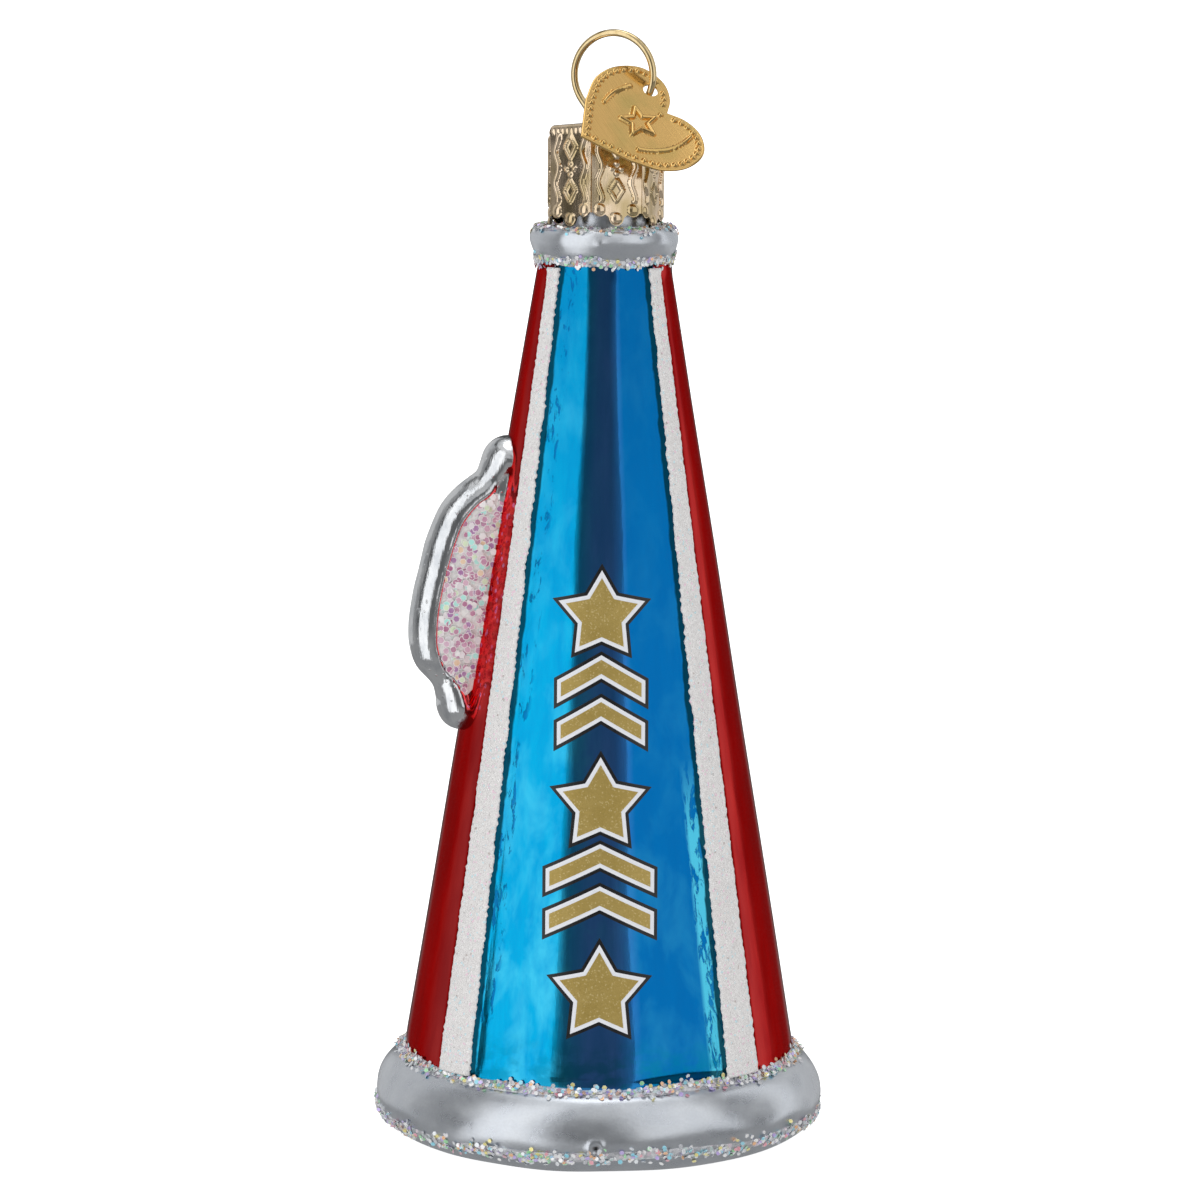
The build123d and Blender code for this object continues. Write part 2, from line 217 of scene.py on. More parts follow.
def inner_profile():
    """(radius, height) points of the hollow, from the neck's lip down to the middle of the base."""
    bore_z = np.arange(NECK_TOP_Z - 0.2, VALLEY_Z - WALL, -2.0)
    cone = np.linspace((CONE_TOP[0] - WALL, CONE_TOP[1]), (CONE_FOOT[0] - WALL, CONE_FOOT[1] - 0.8), 24)
    bell = smooth_line([tuple(cone[-1])] + BELL_ROLL_INSIDE + [(BASE_OUTER_R, WALL)], 0.8)
    return np.concatenate([[(NECK_BORE_R + 0.2, NECK_TOP_Z)],
                           np.stack([np.full(len(bore_z), NECK_BORE_R), bore_z], 1),
                           [(NECK_BORE_R, VALLEY_Z - WALL), (6.2, VALLEY_Z - WALL - 0.2), (6.6, 97.2)],
                           cone[:-1], bell, dome_line(WALL)[::-1]])


class Outline:
    """The glass's outer profile as a path that glitter can follow."""

    def __init__(self, line):
        self.line = line
        self.along = run_lengths(line)
        tangent = unit(np.gradient(line, self.along, axis=0))
        self.normal = np.stack([tangent[:, 1], -tangent[:, 0]], 1)

    def nearest(self, point):
        """Distance along the profile of its point nearest to the given one."""
        return self.along[np.argmin(np.linalg.norm(self.line - np.array(point), axis=1))]

    def at(self, along):
        """Points and outward normals at distances along the profile."""
        return [np.stack([np.interp(along, self.along, values[:, i]) for i in (0, 1)], -1)
                for values in (self.line, self.normal)]


# ---------------------------------------------------------------- shader tools


class Shader:
    """A material whose nodes are added by short calls. Texture coordinates are in millimetres."""

    def __init__(self, name, **settings):
        self.material = bpy.data.materials.new(name)
        self.material.use_nodes = True
        self.tree = self.material.node_tree
        self.surface = self.tree.nodes["Principled BSDF"]
        self.finish(**settings)

    def plug(self, value, socket):
        """Links a socket's output, or sets a plain value."""
        if isinstance(value, bpy.types.NodeSocket):
            self.tree.links.new(value, socket)
        else:
            socket.default_value = value

    def finish(self, **inputs):
        """Fills the surface's sockets and gives the material."""
        for socket, value in inputs.items():
            self.plug(value, self.surface.inputs[socket.replace("_", " ")])
        return self.material

    def node(self, kind, settings=(), inputs=(), **named):
        """A new node, its inputs given in order or by name."""
        made = self.tree.nodes.new("ShaderNode" + kind)
        for key, value in dict(settings).items():
            setattr(made, key, value)
        for value, socket in zip(inputs, made.inputs):
            self.plug(value, socket)
        for key, value in named.items():
            self.plug(value, made.inputs[key])
        return made

    def place(self, cell=1.0):
        """Object coordinates in cells of a size, or of a width and a height."""
        width, height = cell if isinstance(cell, tuple) else (cell, cell)
        scale = (1 / MM / width, 1 / MM / width, 1 / MM / height)
        return self.node("Mapping", Vector=self.node("TexCoord").outputs["Object"], Scale=scale).outputs[0]

    def noise(self, cell, detail=3.0, roughness=0.55, distortion=0.0):
        """Noise in cells of a size, or over a given vector."""
        place = cell if isinstance(cell, bpy.types.NodeSocket) else self.place(cell)
        return self.node("TexNoise", Vector=place, Scale=1.0, Detail=detail, Roughness=roughness,
                         Distortion=distortion).outputs["Fac"]

    def cells(self, cell):
        """Voronoi cells: distance from the middle, and each cell's own three random values."""
        made = self.node("TexVoronoi", Vector=self.place(cell), Scale=1.0)
        return made.outputs["Distance"], self.split(made.outputs["Color"])

    def split(self, colour):
        return tuple(self.node("SeparateColor", Color=colour).outputs)[:3]

    def attribute(self, name, output="Color"):
        return self.node("Attribute", {"attribute_name": name}).outputs[output]

    def maths(self, operation, *values):
        return self.node("Math", {"operation": operation}, values).outputs[0]

    def times(self, product, *others):
        for other in others:
            product = self.maths("MULTIPLY", product, other)
        return product

    def range(self, value, low, high, to_low=0.0, to_high=1.0):
        return self.node("MapRange", {"clamp": True}, (value, low, high, to_low, to_high)).outputs[0]

    def mix(self, share, a, b):
        """Colour mix; colours may be plain RGB triples."""
        made = self.node("Mix", {"data_type": "RGBA"})
        for value, index in ((share, 0), (a, 6), (b, 7)):
            self.plug((*value, 1.0) if isinstance(value, tuple) else value, made.inputs[index])
        return made.outputs[2]

    def over(self, base, colour, mask, low, high, most=1.0):
        """A colour laid over the base as a mask goes from low to high."""
        return self.mix(self.range(mask, low, high, 0.0, most), base, colour)

    def bump(self, height, distance, **named):
        """Bump of a height given in millimetres."""
        return self.node("Bump", Height=height, Distance=distance * MM, Strength=1.0, **named).outputs[0]


# ---------------------------------------------------------------- materials


def lacquer_blue():
    """Clear blue lacquer over silvering, with painted light and shade: lighter on the left, darker on the
    right, bluer in the front middle; a painted dark reflection line along each stripe, darker towards the
    top, pale drips on the lower right and dark blotches on the left.
    Attribute coat holds (nearness to a stripe, side, painted glow near the handle, pit painted black as
    shade)."""
    s = Shader("lacquer_blue", Metallic=1.0, Coat_Weight=0.04, Coat_Roughness=0.03,
               Specular_Tint=(0.05, 0.35, 0.60, 1.0))
    edge, side, _ = s.split(s.attribute("coat"))
    height = s.node("SeparateXYZ", Vector=s.place()).outputs[2]
    streak = s.noise((1.6, 22.0), 4.0, 0.6)
    cloud = s.noise((4.0, 7.5), 4.0, 0.6, 0.3)
    # Painted light and shade: the blue is lighter on the left side and darker on the right, and bluer in the
    # front middle, where it tints the dark reflection there.
    thin = s.mix(s.range(side, 0.35, 0.65), (0.002, 0.40, 0.72), (0.001, 0.165, 0.50))
    off_middle = s.maths("ABSOLUTE", s.maths("SUBTRACT", side, 0.5))
    base = s.mix(s.range(off_middle, 0.08, 0.32, 0.9, 0.0), thin, (0.12, 0.34, 0.95))
    base = s.over(base, (0.0, 0.20, 0.56), streak, 0.35, 0.75, 0.45)
    base = s.over(base, (0.0, 0.12, 0.34), height, 55.0, 95.0, 0.45)
    paler = s.times(s.range(cloud, 0.46, 0.68, 0.0, 0.6), s.range(side, 0.30, 0.55, 1.0, 0.25),
                    s.range(height, 70.0, 25.0, 0.35, 1.0))
    base = s.mix(paler, base, (0.07, 0.62, 0.86))
    drip = s.noise((1.0, 4.2), 6.0, 0.66, 0.7)
    dripping = s.times(s.range(drip, 0.45, 0.48), s.range(edge, 0.24, 0.40), s.range(side, 0.55, 0.75),
                       s.range(height, 44.0, 36.0))
    base = s.mix(s.times(dripping, 0.9), base, (0.10, 0.68, 0.92))
    pool = s.noise((0.9, 3.6), 5.0, 0.66, 0.5)
    pooling = s.times(s.range(pool, 0.58, 0.62), s.range(edge, 0.16, 0.36), s.range(side, 0.7, 0.4))
    base = s.mix(s.times(pooling, 0.8), base, (0.002, 0.13, 0.40))
    foot = s.times(s.range(height, 15.0, 11.0), s.range(s.noise((2.6, 1.5), 4.0), 0.42, 0.58), 0.6)
    base = s.mix(foot, base, (0.0, 0.24, 0.42))
    # Painted dark reflection: a near-black line along each stripe's edge, made ragged by noise.
    ragged = s.maths("MULTIPLY_ADD", s.noise((1.2, 3.0)), 0.22, edge)
    base = s.over(base, (0.0, 0.04, 0.07), ragged, 0.89, 0.95, 0.94)
    bumps = s.maths("MULTIPLY_ADD", s.maths("ADD", dripping, pooling), 0.5, s.times(streak, 0.8))
    return s.finish(Base_Color=base, Roughness=s.range(s.noise((0.5, 2.0)), 0.3, 0.8, 0.06, 0.13),
                    Normal=s.bump(bumps, 0.012))


def lacquer_red():
    """Clear red lacquer over silvering, with a painted glow and pink specks of painted glitter reflection
    near the handle, and a painted dark reflection line along each stripe.
    """
    s = Shader("lacquer_red", Metallic=1.0, Coat_Weight=0.04, Coat_Roughness=0.05,
               Specular_Tint=(0.50, 0.20, 0.20, 1.0))
    edge, _, painted_handle_glow = s.split(s.attribute("coat"))
    cloud = s.noise((3.0, 18.0), 4.0, 0.6)
    base = s.mix(s.range(cloud, 0.35, 0.7), (0.44, 0.040, 0.042), (0.62, 0.058, 0.055))
    # Painted light: the red is brighter near the handle's glitter.
    base = s.mix(s.times(painted_handle_glow, s.range(cloud, 0.3, 0.6, 0.6, 1.0)), base, (1.0, 0.085, 0.09))
    distance, (chance, _, _) = s.cells((0.6, 0.7))
    # Painted reflection: pink specks near the handle stand for the glitter mirrored in the red.
    glitter_reflection_speck = s.times(s.range(chance, 0.70, 0.74), s.range(distance, 0.42, 0.34),
                    s.range(painted_handle_glow, 0.25, 0.75))
    base = s.mix(glitter_reflection_speck, base, (0.90, 0.26, 0.50))
    # Painted dark reflection: a dark line along each stripe's edge.
    base = s.over(base, (0.12, 0.004, 0.004), edge, 0.86, 0.96, 0.7)
    return s.finish(Base_Color=base, Roughness=s.range(s.noise((1.2, 6.0)), 0.3, 0.8, 0.08, 0.16),
                    Normal=s.bump(cloud, 0.02))


def silver_paint():
    """Satin silver paint round the rims and the neck, with soft mottling, a fine grain and painted shade in
    the dimple's pit.
    """
    s = Shader("silver_paint", Metallic=0.96)
    mottle = s.noise((3.2, 2.2), 2.0, 0.5)
    grain = s.noise((0.30, 0.24), 2.0)
    base = s.mix(s.range(mottle, 0.3, 0.7), (0.66, 0.70, 0.76), (0.80, 0.84, 0.89))
    base = s.over(base, (0.58, 0.60, 0.64), grain, 0.3, 0.7, 0.25)
    # Painted shade: near-black where the coat's alpha marks the dimple's pit.
    base = s.mix(s.attribute("coat", "Alpha"), base, (0.004, 0.004, 0.004))
    height = s.maths("ADD", mottle, s.times(grain, 0.16))
    return s.finish(Base_Color=base, Roughness=s.range(mottle, 0.3, 0.7, 0.25, 0.34),
                    Normal=s.bump(height, 0.045))


def bare_silver():
    """The mirror coat inside the glass, as it shows down the neck."""
    s = Shader("bare_silver", Metallic=1.0)
    cloud = s.noise(4.0)
    return s.finish(Base_Color=s.mix(cloud, (0.42, 0.40, 0.36), (0.66, 0.64, 0.60)),
                    Roughness=s.range(cloud, 0.3, 0.7, 0.18, 0.4))


def chrome_glass():
    """The handle's silvering under clear glass, with fine drawn lines and a few pits."""
    s = Shader("chrome_glass", Metallic=1.0, Coat_Weight=0.3, Coat_Roughness=0.02)
    line = s.noise((0.5, 6.0), 4.0, 0.6)
    base = s.over((0.86, 0.88, 0.90), (0.58, 0.61, 0.65), s.noise((1.6, 3.0), 4.0, 0.6), 0.4, 0.75)
    distance, (_, chance, _) = s.cells(0.55)
    pit = s.times(s.range(distance, 0.24, 0.14), s.range(chance, 0.86, 0.88), 2.0)
    return s.finish(Base_Color=base, Roughness=s.range(line, 0.3, 0.8, 0.05, 0.16),
                    Normal=s.bump(s.maths("ADD", line, pit), 0.035))


def stripe_glitter():
    """Fine white glitter in clear glue: pale grains with scattered bright and tinted sparks."""
    s = Shader("stripe_glitter_grains", Specular_IOR_Level=0.35)
    distance, (red, green, blue) = s.cells(0.24)
    cloud = s.noise(3.0, 4.0, 0.6)
    base = s.mix(s.range(red, 0.0, 1.0), (0.80, 0.78, 0.78), (0.93, 0.92, 0.91))
    base = s.over(base, (0.80, 0.765, 0.745), cloud, 0.35, 0.75, 0.35)
    base = s.over(base, (0.95, 0.66, 0.80), green, 0.955, 0.965, 0.75)
    base = s.over(base, (0.62, 0.88, 0.95), blue, 0.955, 0.965, 0.75)
    base = s.over(base, (0.50, 0.42, 0.40), green, 0.010, 0.006, 0.7)
    spark = s.range(red, 0.88, 0.90)
    base = s.mix(s.times(spark, 0.5), base, (1.0, 0.99, 0.99))
    grains = s.bump(s.times(distance, -1.0), 0.08)
    return s.finish(Base_Color=base, Metallic=s.times(spark, 0.3),
                    Roughness=s.range(spark, 0.0, 1.0, 0.55, 0.14),
                    Normal=s.bump(s.noise(0.11, 2.0), 0.02, Normal=grains))


def flake_film(name, metallic, coat, rim_colour, rim_share):
    """Hexagonal film flakes; attribute tint holds each flake's colour and, as alpha, 1 at its rim."""
    s = Shader(name, Metallic=metallic, Coat_Weight=coat, Coat_Roughness=0.06, Roughness=0.18)
    base = s.over(s.attribute("tint"), (0.95, 0.96, 0.98), s.noise(0.5, 2.0), 0.35, 0.75, 0.2)
    base = s.over(base, rim_colour, s.attribute("tint", "Alpha"), 0.76, 0.86, rim_share)
    facing = s.node("LayerWeight", Blend=0.35).outputs["Facing"]
    return s.finish(Base_Color=s.over(base, (0.80, 0.93, 0.97), facing, 0.35, 0.95, 0.4))


def glue_bed(name, metallic, low, high):
    """Clear glue full of the finest flakes, under the large ones."""
    s = Shader(name, Metallic=metallic, Coat_Weight=0.5, Coat_Roughness=0.12)
    distance, (red, green, blue) = s.cells(0.45)
    base = s.over(s.mix(red, low, high), (0.86, 0.68, 0.78), green, 0.86, 0.88, 0.6)
    base = s.over(base, (0.70, 0.90, 0.86), blue, 0.88, 0.90, 0.6)
    return s.finish(Base_Color=base, Roughness=s.range(blue, 0.0, 1.0, 0.18, 0.45),
                    Normal=s.bump(distance, 0.05))


def gold_print():
    """Gold enamel print with very fine glitter in it."""
    s = Shader("gold_ink", Metallic=0.35)
    distance, (red, green, _) = s.cells(0.14)
    base = s.mix(s.range(s.noise(2.5), 0.3, 0.7), (0.47, 0.335, 0.085), (0.54, 0.395, 0.12))
    base = s.over(base, (0.36, 0.25, 0.06), red, 0.0, 1.0, 0.35)
    base = s.over(base, (0.80, 0.66, 0.32), green, 0.90, 0.95, 0.5)
    return s.finish(Base_Color=base, Roughness=s.range(green, 0.0, 1.0, 0.30, 0.5),
                    Normal=s.bump(distance, 0.012))


def ink(name, low, high, roughness):
    """Plain enamel ink, slightly uneven."""
    s = Shader(name)
    cloud = s.noise(0.7, 4.0, 0.6)
    return s.finish(Base_Color=s.mix(cloud, low, high), Normal=s.bump(cloud, 0.012),
                    Roughness=s.range(cloud, 0.3, 0.7, roughness - 0.05, roughness + 0.08))


def cap_brass():
    """Bright stamped sheet, pale pinkish gold, with faint upright rolling lines and soft darker olive
    blotches.
    """
    s = Shader("cap_brass", Metallic=1.0)
    lines = s.noise((0.16, 5.0), 3.0, 0.6)
    cloud = s.noise((2.6, 3.4), 2.0, 0.5, 0.5)
    base = s.over((1.0, 0.80, 0.58), (0.52, 0.40, 0.17), cloud, 0.40, 0.66, 0.75)
    base = s.over(base, (0.80, 0.60, 0.40), lines, 0.4, 0.75, 0.18)
    return s.finish(Base_Color=base, Roughness=s.range(lines, 0.3, 0.8, 0.09, 0.15),
                    Normal=s.bump(s.maths("MULTIPLY_ADD", lines, 0.25, cloud), 0.02))


def wire_brass():
    """Bright drawn wire."""
    s = Shader("wire_brass", Metallic=1.0)
    lines = s.noise((0.5, 2.5), 3.0, 0.5)
    return s.finish(Base_Color=s.over((0.88, 0.70, 0.40), (0.72, 0.54, 0.26), lines, 0.35, 0.75),
                    Roughness=s.range(lines, 0.3, 0.8, 0.08, 0.15), Normal=s.bump(lines, 0.006))


def tag_brass(across, upward):
    """Satin brass sheet brushed along one direction of its face, with faint darker olive patches."""
    s = Shader("tag_brass", Metallic=1.0)
    source = s.node("TexCoord").outputs["Object"]
    coordinates = []
    for direction, cell in ((across, 5.0), (upward, 0.16)):
        dot = s.node("VectorMath", {"operation": "DOT_PRODUCT"}, (source, direction))
        coordinates.append(s.times(dot.outputs["Value"], 1 / MM / cell))
    lines = s.noise(s.node("CombineXYZ", {}, coordinates).outputs[0], 4.0, 0.65)
    base = s.mix(s.range(lines, 0.3, 0.75), (0.90, 0.585, 0.215), (0.76, 0.47, 0.16))
    base = s.over(base, (0.50, 0.43, 0.14), s.noise(4.5), 0.5, 0.72, 0.45)
    return s.finish(Base_Color=base, Roughness=s.range(lines, 0.3, 0.8, 0.10, 0.17),
                    Normal=s.bump(lines, 0.003))


# ---------------------------------------------------------------- glass body

BLUE, RED, PAINT, BARE = range(4)
LEDGE = 0.15
LEDGE_SHOULDER = 0.9
DIMPLE_AZIMUTH = -0.5
DIMPLE_Z = 3.45
MOUTH_BUMP = (-3.0, 99.3)
HANDLE_GLOW_Z = (49.0, 72.0)
LACQUER_TOP_Z = 97.2
CONE_MIDDLE_R = 15.0


def stripe_distance(azimuth, radius):
    """Distance in millimetres along the surface outside the nearest stripe; negative inside one."""
    middle = np.abs(np.abs(azimuth) - 90.0)
    return np.radians(np.abs(middle - (90 - STRIPE_AZIMUTH)) - STRIPE_HALF) * radius


def body_columns():
    """Azimuths of the body's columns of points, closer at the stripes' edges and at the dimple."""
    columns = list(np.arange(-180, 180, 2.0))
    for middle in STRIPE_MIDDLES.values():
        for edge in (middle - STRIPE_HALF, middle + STRIPE_HALF):
            columns += list(edge + np.arange(-2.4, 2.5, 0.4))
    columns += list(DIMPLE_AZIMUTH + np.arange(-2.5, 2.6, 0.3))
    columns = np.sort(np.array(columns))
    return columns[np.concatenate([[True], np.diff(columns) > 0.15])]


def glass_relief(azimuth, r, z, zone):
    """How far the glass stands off its round profile: ledges under the stripes, a little waviness, a
    bump on the mouth roll and a rimmed dimple at the foot. Also gives the distance from the dimple."""
    on_cone = np.clip((z - 9.6) / 1.2, 0, 1) * np.clip((96.2 - z) / 1.0, 0, 1)
    shoulder = np.clip(1 - stripe_distance(azimuth, r) / LEDGE_SHOULDER, 0, 1) ** 2
    arc = np.radians(azimuth) * CONE_MIDDLE_R
    wobble = waves(arc, z, 3, (11.0, 31.4), (24.0, 70.0)) * 0.030
    wobble += waves(arc, z, 4, (4.0, 9.0), (12.0, 40.0)) * 0.0045
    closing = np.clip((180 - np.abs(azimuth)) / 10, 0, 1)
    rim = np.isin(zone, ["bell", "mouth"]) * (1 - on_cone)
    lift = on_cone * (LEDGE * shoulder + wobble * closing)
    lift = lift + rim * closing * waves(arc, z, 5, (7.0, 20.0), (5.0, 12.0)) * 0.10
    from_bump, from_dimple = (np.hypot(np.radians(azimuth - turn) * r, z - height)
                              for turn, height in (MOUTH_BUMP, (DIMPLE_AZIMUTH, DIMPLE_Z)))
    lift = lift + (zone == "mouth") * 0.16 * np.exp(-(from_bump / 0.55) ** 2)
    raised = 0.22 * np.exp(-((from_dimple - 0.75) / 0.35) ** 2)
    return lift + (zone == "bell") * (raised - 0.30 * np.exp(-(from_dimple / 0.33) ** 2)), from_dimple


def coat_values(azimuth, r, z, zone, from_dimple):
    """The coat attribute of the outside: (nearness to a stripe, side, painted glow near the handle, pit
    painted black as shade).
    """
    near = np.clip(1 - stripe_distance(azimuth, r) / 3.2, 0, 1)
    side = np.where(np.abs(azimuth) > 90, 0.8, np.clip((azimuth + 20) / 40, 0, 1))
    # Painted glow: marks where the red is painted brighter near the handle, between HANDLE_GLOW_Z.
    handle_arc = np.abs(np.radians(azimuth - HANDLE_AZIMUTH)) * r
    low, high = HANDLE_GLOW_Z
    inside = np.clip((high - low) / 2 + 2.0 - np.abs(z - (low + high) / 2), 0, 2) / 2
    glow = np.clip(1.75 - handle_arc / 3.6, 0, 1) * inside
    # Pit: where the bell's silver paint is painted black as shade.
    pit = (zone == "bell") * np.clip(1.6 - from_dimple / 0.25, 0, 1)
    return np.stack(np.broadcast_arrays(near, side, glow, pit), -1).reshape(-1, 4)


def glass_body(outline, zones, materials):
    """The blown glass, its outside and its hollow, with the lacquers and paint by zone."""
    azimuth = body_columns()
    r, z, zone = outline.line[:, :1], outline.line[:, 1:], zones[:, None]
    lift, from_dimple = glass_relief(azimuth, r, z, zone)
    height = np.maximum(z + lift * outline.normal[:, 1:], 0.0)
    inner = inner_profile()
    rings = np.concatenate([turned(azimuth, r + lift * outline.normal[:, :1], height),
                            turned(azimuth, inner[:, :1], inner[:, 1:])])
    points = np.concatenate([rings.reshape(-1, 3), [(0, 0, BASE_DOME), (0, 0, BASE_DOME + WALL)]])
    rows, count = rings.shape[:2]
    faces = [face[::-1] for face in grid_faces(rows, count, closed_columns=True)]
    face_z = np.concatenate([z, inner[:, 1:]])[:-1]
    face_row = np.arange(rows - 1)[:, None]
    face_azimuth = (azimuth + np.roll(azimuth, -1)) / 2
    face_azimuth[-1] = 180.0
    slots = np.where(np.abs(np.abs(face_azimuth) - 90.0) > 90 - STRIPE_AZIMUTH, BLUE, RED)
    slots = np.where((face_z < CONE_FOOT[1] - 0.1) | (face_z > LACQUER_TOP_Z), PAINT, slots)
    slots = np.where(face_row >= len(z), BARE, slots)
    bottom, top = len(points) - 2, len(points) - 1
    last = (rows - 1) * count
    for i in range(count):
        faces.append([bottom, i, (i + 1) % count])
        faces.append([top, last + (i + 1) % count, last + i])
    slots = np.concatenate([slots.ravel(), np.tile([PAINT, BARE], count)])
    piece = mesh_object("blown_glass", points, faces, materials, slots)
    outer = coat_values(azimuth, r, z, zone, from_dimple)
    colour_attribute(piece, "coat", np.concatenate([outer, np.zeros((len(points) - len(outer), 4))]))
    return piece


# ---------------------------------------------------------------- handle

BAR_R = 1.5
BAR_LEAN = 0.6
BAR_ROUTE = [(9.3, 75.9), (10.4, 76.2), (11.5, 75.8), (12.35, 74.4), (13.5, 72.7), (15.2, 71.4),
             (16.8, 69.6), (18.0, 67.0), (18.95, 63.7), (19.75, 60.3), (20.15, 57.1), (20.1, 55.1),
             (19.7, 53.6), (18.8, 52.1), (17.7, 50.6), (17.1, 49.2), (16.9, 48.2), (16.4, 47.2), (15.2, 46.7)]
BAR_SWELLS = [(10.9, 76.0, 1.5, 0.3), (12.9, 73.4, 0.9, -0.2), (18.3, 51.6, 1.6, -0.4),
              (16.6, 47.7, 1.3, 0.12)]
BAR_BLOBS = [(18.1, 62.9, 0.5), (17.3, 51.2, 0.45)]
BLOB_SINK = 0.35
ROOT = [(10.6, 75.6), (11.4, 71.5)]
ROOT_R = 1.35
ROOT_FORWARD = 0.35
WEB_HALF = 0.95
WEB_OUTLINE = [(9.8, 73.0), (13.8, 71.6), (16.2, 69.2), (18.4, 64.0), (19.6, 58.4), (19.7, 55.4),
               (18.6, 53.0), (17.2, 50.8), (16.4, 48.4), (15.6, 47.2), (13.6, 46.9)]
HANDLE_VOXEL = 0.17
PATCH = [(10.6, 71.6), (13.6, 71.4), (15.1, 70.2), (17.0, 66.8), (18.1, 62.9), (18.9, 58.7), (19.0, 55.5),
         (18.2, 53.2), (16.8, 51.2), (15.6, 49.4), (14.0, 51.0)]


def handle_point(r, z, side):
    """A point of the handle: radius and height in its upright plane, and distance to its front."""
    angle = math.radians(HANDLE_AZIMUTH)
    r, z, side = np.broadcast_arrays(np.asarray(r, float), np.asarray(z, float), np.asarray(side, float))
    return np.stack([r * math.sin(angle) + side * math.cos(angle),
                     -r * math.cos(angle) + side * math.sin(angle), z], -1)


def tube_rings(path, radii, sides):
    """Rings of points round a path, turned as little as possible from one to the next."""
    path = np.asarray(path, float)
    tangent = unit(np.gradient(path, axis=0))
    across = np.cross(tangent[0], [0.0, 1.0, 0.3])
    angle = np.linspace(0, 2 * math.pi, sides, endpoint=False)[:, None]
    rings = []
    for point, along, radius in zip(path, tangent, np.broadcast_to(radii, len(path))):
        across = unit(across - along * np.dot(across, along))
        rings.append(point + radius * (np.cos(angle) * across + np.sin(angle) * np.cross(along, across)))
    return np.array(rings)


def leaning_rings(line, radii, sides):
    """Rings of points round the bar; its section leans, so that it is thicker towards the glass."""
    tangent = unit(np.gradient(line, axis=0))
    angle = np.linspace(0, 2 * math.pi, sides, endpoint=False)
    out = np.cos(angle)[None, :] * radii[:, None]
    front = np.sin(angle)[None, :] * radii[:, None] - BAR_LEAN * out
    return handle_point(line[:, :1] - tangent[:, 1:] * out, line[:, 1:] + tangent[:, :1] * out, front)


def capped(rings):
    """Points and faces of a closed skin over a row of rings."""
    rows, count = rings.shape[:2]
    faces = grid_faces(rows, count, closed_columns=True)
    faces.append(list(range(count))[::-1])
    faces.append(list(range((rows - 1) * count, rows * count)))
    return rings.reshape(-1, 3), faces


def merged(parts):
    """One list of points and faces from several."""
    points, faces, start = [], [], 0
    for part_points, part_faces in parts:
        points.append(part_points)
        faces += [[index + start for index in face] for face in part_faces]
        start += len(part_points)
    return np.concatenate(points), faces


def ball(centre, radius):
    """Points and faces of a round bead, as a tube whose radius follows a half circle."""
    turn = np.linspace(-0.49 * math.pi, 0.49 * math.pi, 15)
    path = centre + np.outer(radius * np.sin(turn), (0, 0, 1))
    return capped(tube_rings(path, radius * np.cos(turn), 20))


def rod(start, end, radius):
    """Points and faces of a round-ended rod."""
    along = unit(end - start)
    turn = np.linspace(0.02, 0.5, 8)[:, None] * math.pi
    path = np.concatenate([start - along * radius * np.cos(turn), end + along * radius * np.cos(turn[::-1])])
    return capped(tube_rings(path, radius * np.sin(np.concatenate([turn, turn[::-1]])[:, 0]), 20))


def slab(outline, low, high):
    """Points and faces of a flat plate in the handle's plane, between two distances to its front."""
    count = len(outline)
    r, z = np.array(outline).T
    points = np.concatenate([handle_point(r, z, low), handle_point(r, z, high)])
    faces = [list(range(count)), list(range(count, 2 * count))[::-1]]
    faces += [[(i + 1) % count, i, i + count, (i + 1) % count + count] for i in range(count)]
    return points, faces


def glass_handle(material):
    """The blown handle: a wavering bar that swells at its roots, with a web inside it, melted together."""
    line = smooth_line(BAR_ROUTE, 0.3)
    step = np.arange(len(line))
    radii = BAR_R * (1 + 0.03 * waves(step * 0.3, 0 * step, 11, (4.0, 12.0), (9.0, 10.0)))
    for r, z, reach, gain in BAR_SWELLS:
        radii += gain * np.exp(-(np.hypot(line[:, 0] - r, line[:, 1] - z) / reach) ** 2)
    root_foot, root_head = (handle_point(*point, ROOT_FORWARD) for point in ROOT)
    parts = [capped(leaning_rings(line, radii, 28)), rod(root_foot, root_head, ROOT_R),
             slab(WEB_OUTLINE, -WEB_HALF, WEB_HALF)]
    parts += [ball(handle_point(r, z, BAR_R - BLOB_SINK), size) for r, z, size in BAR_BLOBS]
    piece = mesh_object("glass_handle", *merged(parts), [material])
    remesh = piece.modifiers.new("melt", "REMESH")
    remesh.mode = "VOXEL"
    remesh.voxel_size = HANDLE_VOXEL * MM
    soften = piece.modifiers.new("soften", "SMOOTH")
    soften.factor, soften.iterations = 0.5, 7
    apply_modifiers(piece)
    return piece


# ---------------------------------------------------------------- glitter

WHITE_TINTS = [(0.96, 0.96, 0.98), (1.0, 1.0, 1.0), (0.88, 0.92, 0.96), (0.66, 0.68, 0.72)]
PASTEL_TINTS = [(0.96, 0.42, 0.50), (0.30, 0.78, 0.95), (0.38, 0.86, 0.42), (0.95, 0.84, 0.28),
                (0.60, 0.46, 0.92), (0.98, 0.52, 0.24)]
WHITE_SHARE = 0.56
HANDLE_TINTS = [(0.50, 0.17, 0.32), (0.62, 0.30, 0.46), (0.44, 0.20, 0.44), (0.74, 0.46, 0.60),
                (0.86, 0.82, 0.85), (1.0, 1.0, 1.0), (0.50, 0.97, 0.88), (0.78, 0.96, 0.66),
                (0.92, 0.68, 0.46)]
HANDLE_SHARES = [0.18, 0.16, 0.11, 0.12, 0.17, 0.08, 0.10, 0.04, 0.04]
HANDLE_FLAKE_SIZE = 0.84
HANDLE_COVER = 0.46
PATCH_DEPTH = 0.38
PATCH_BOX = ((10.5, 20.5), (47.5, 72.5))
PATCH_GRID = 0.40
FLAKE_THICKNESS = 0.05
BAND_TILT = 19.0
PATCH_TILT = 7.0
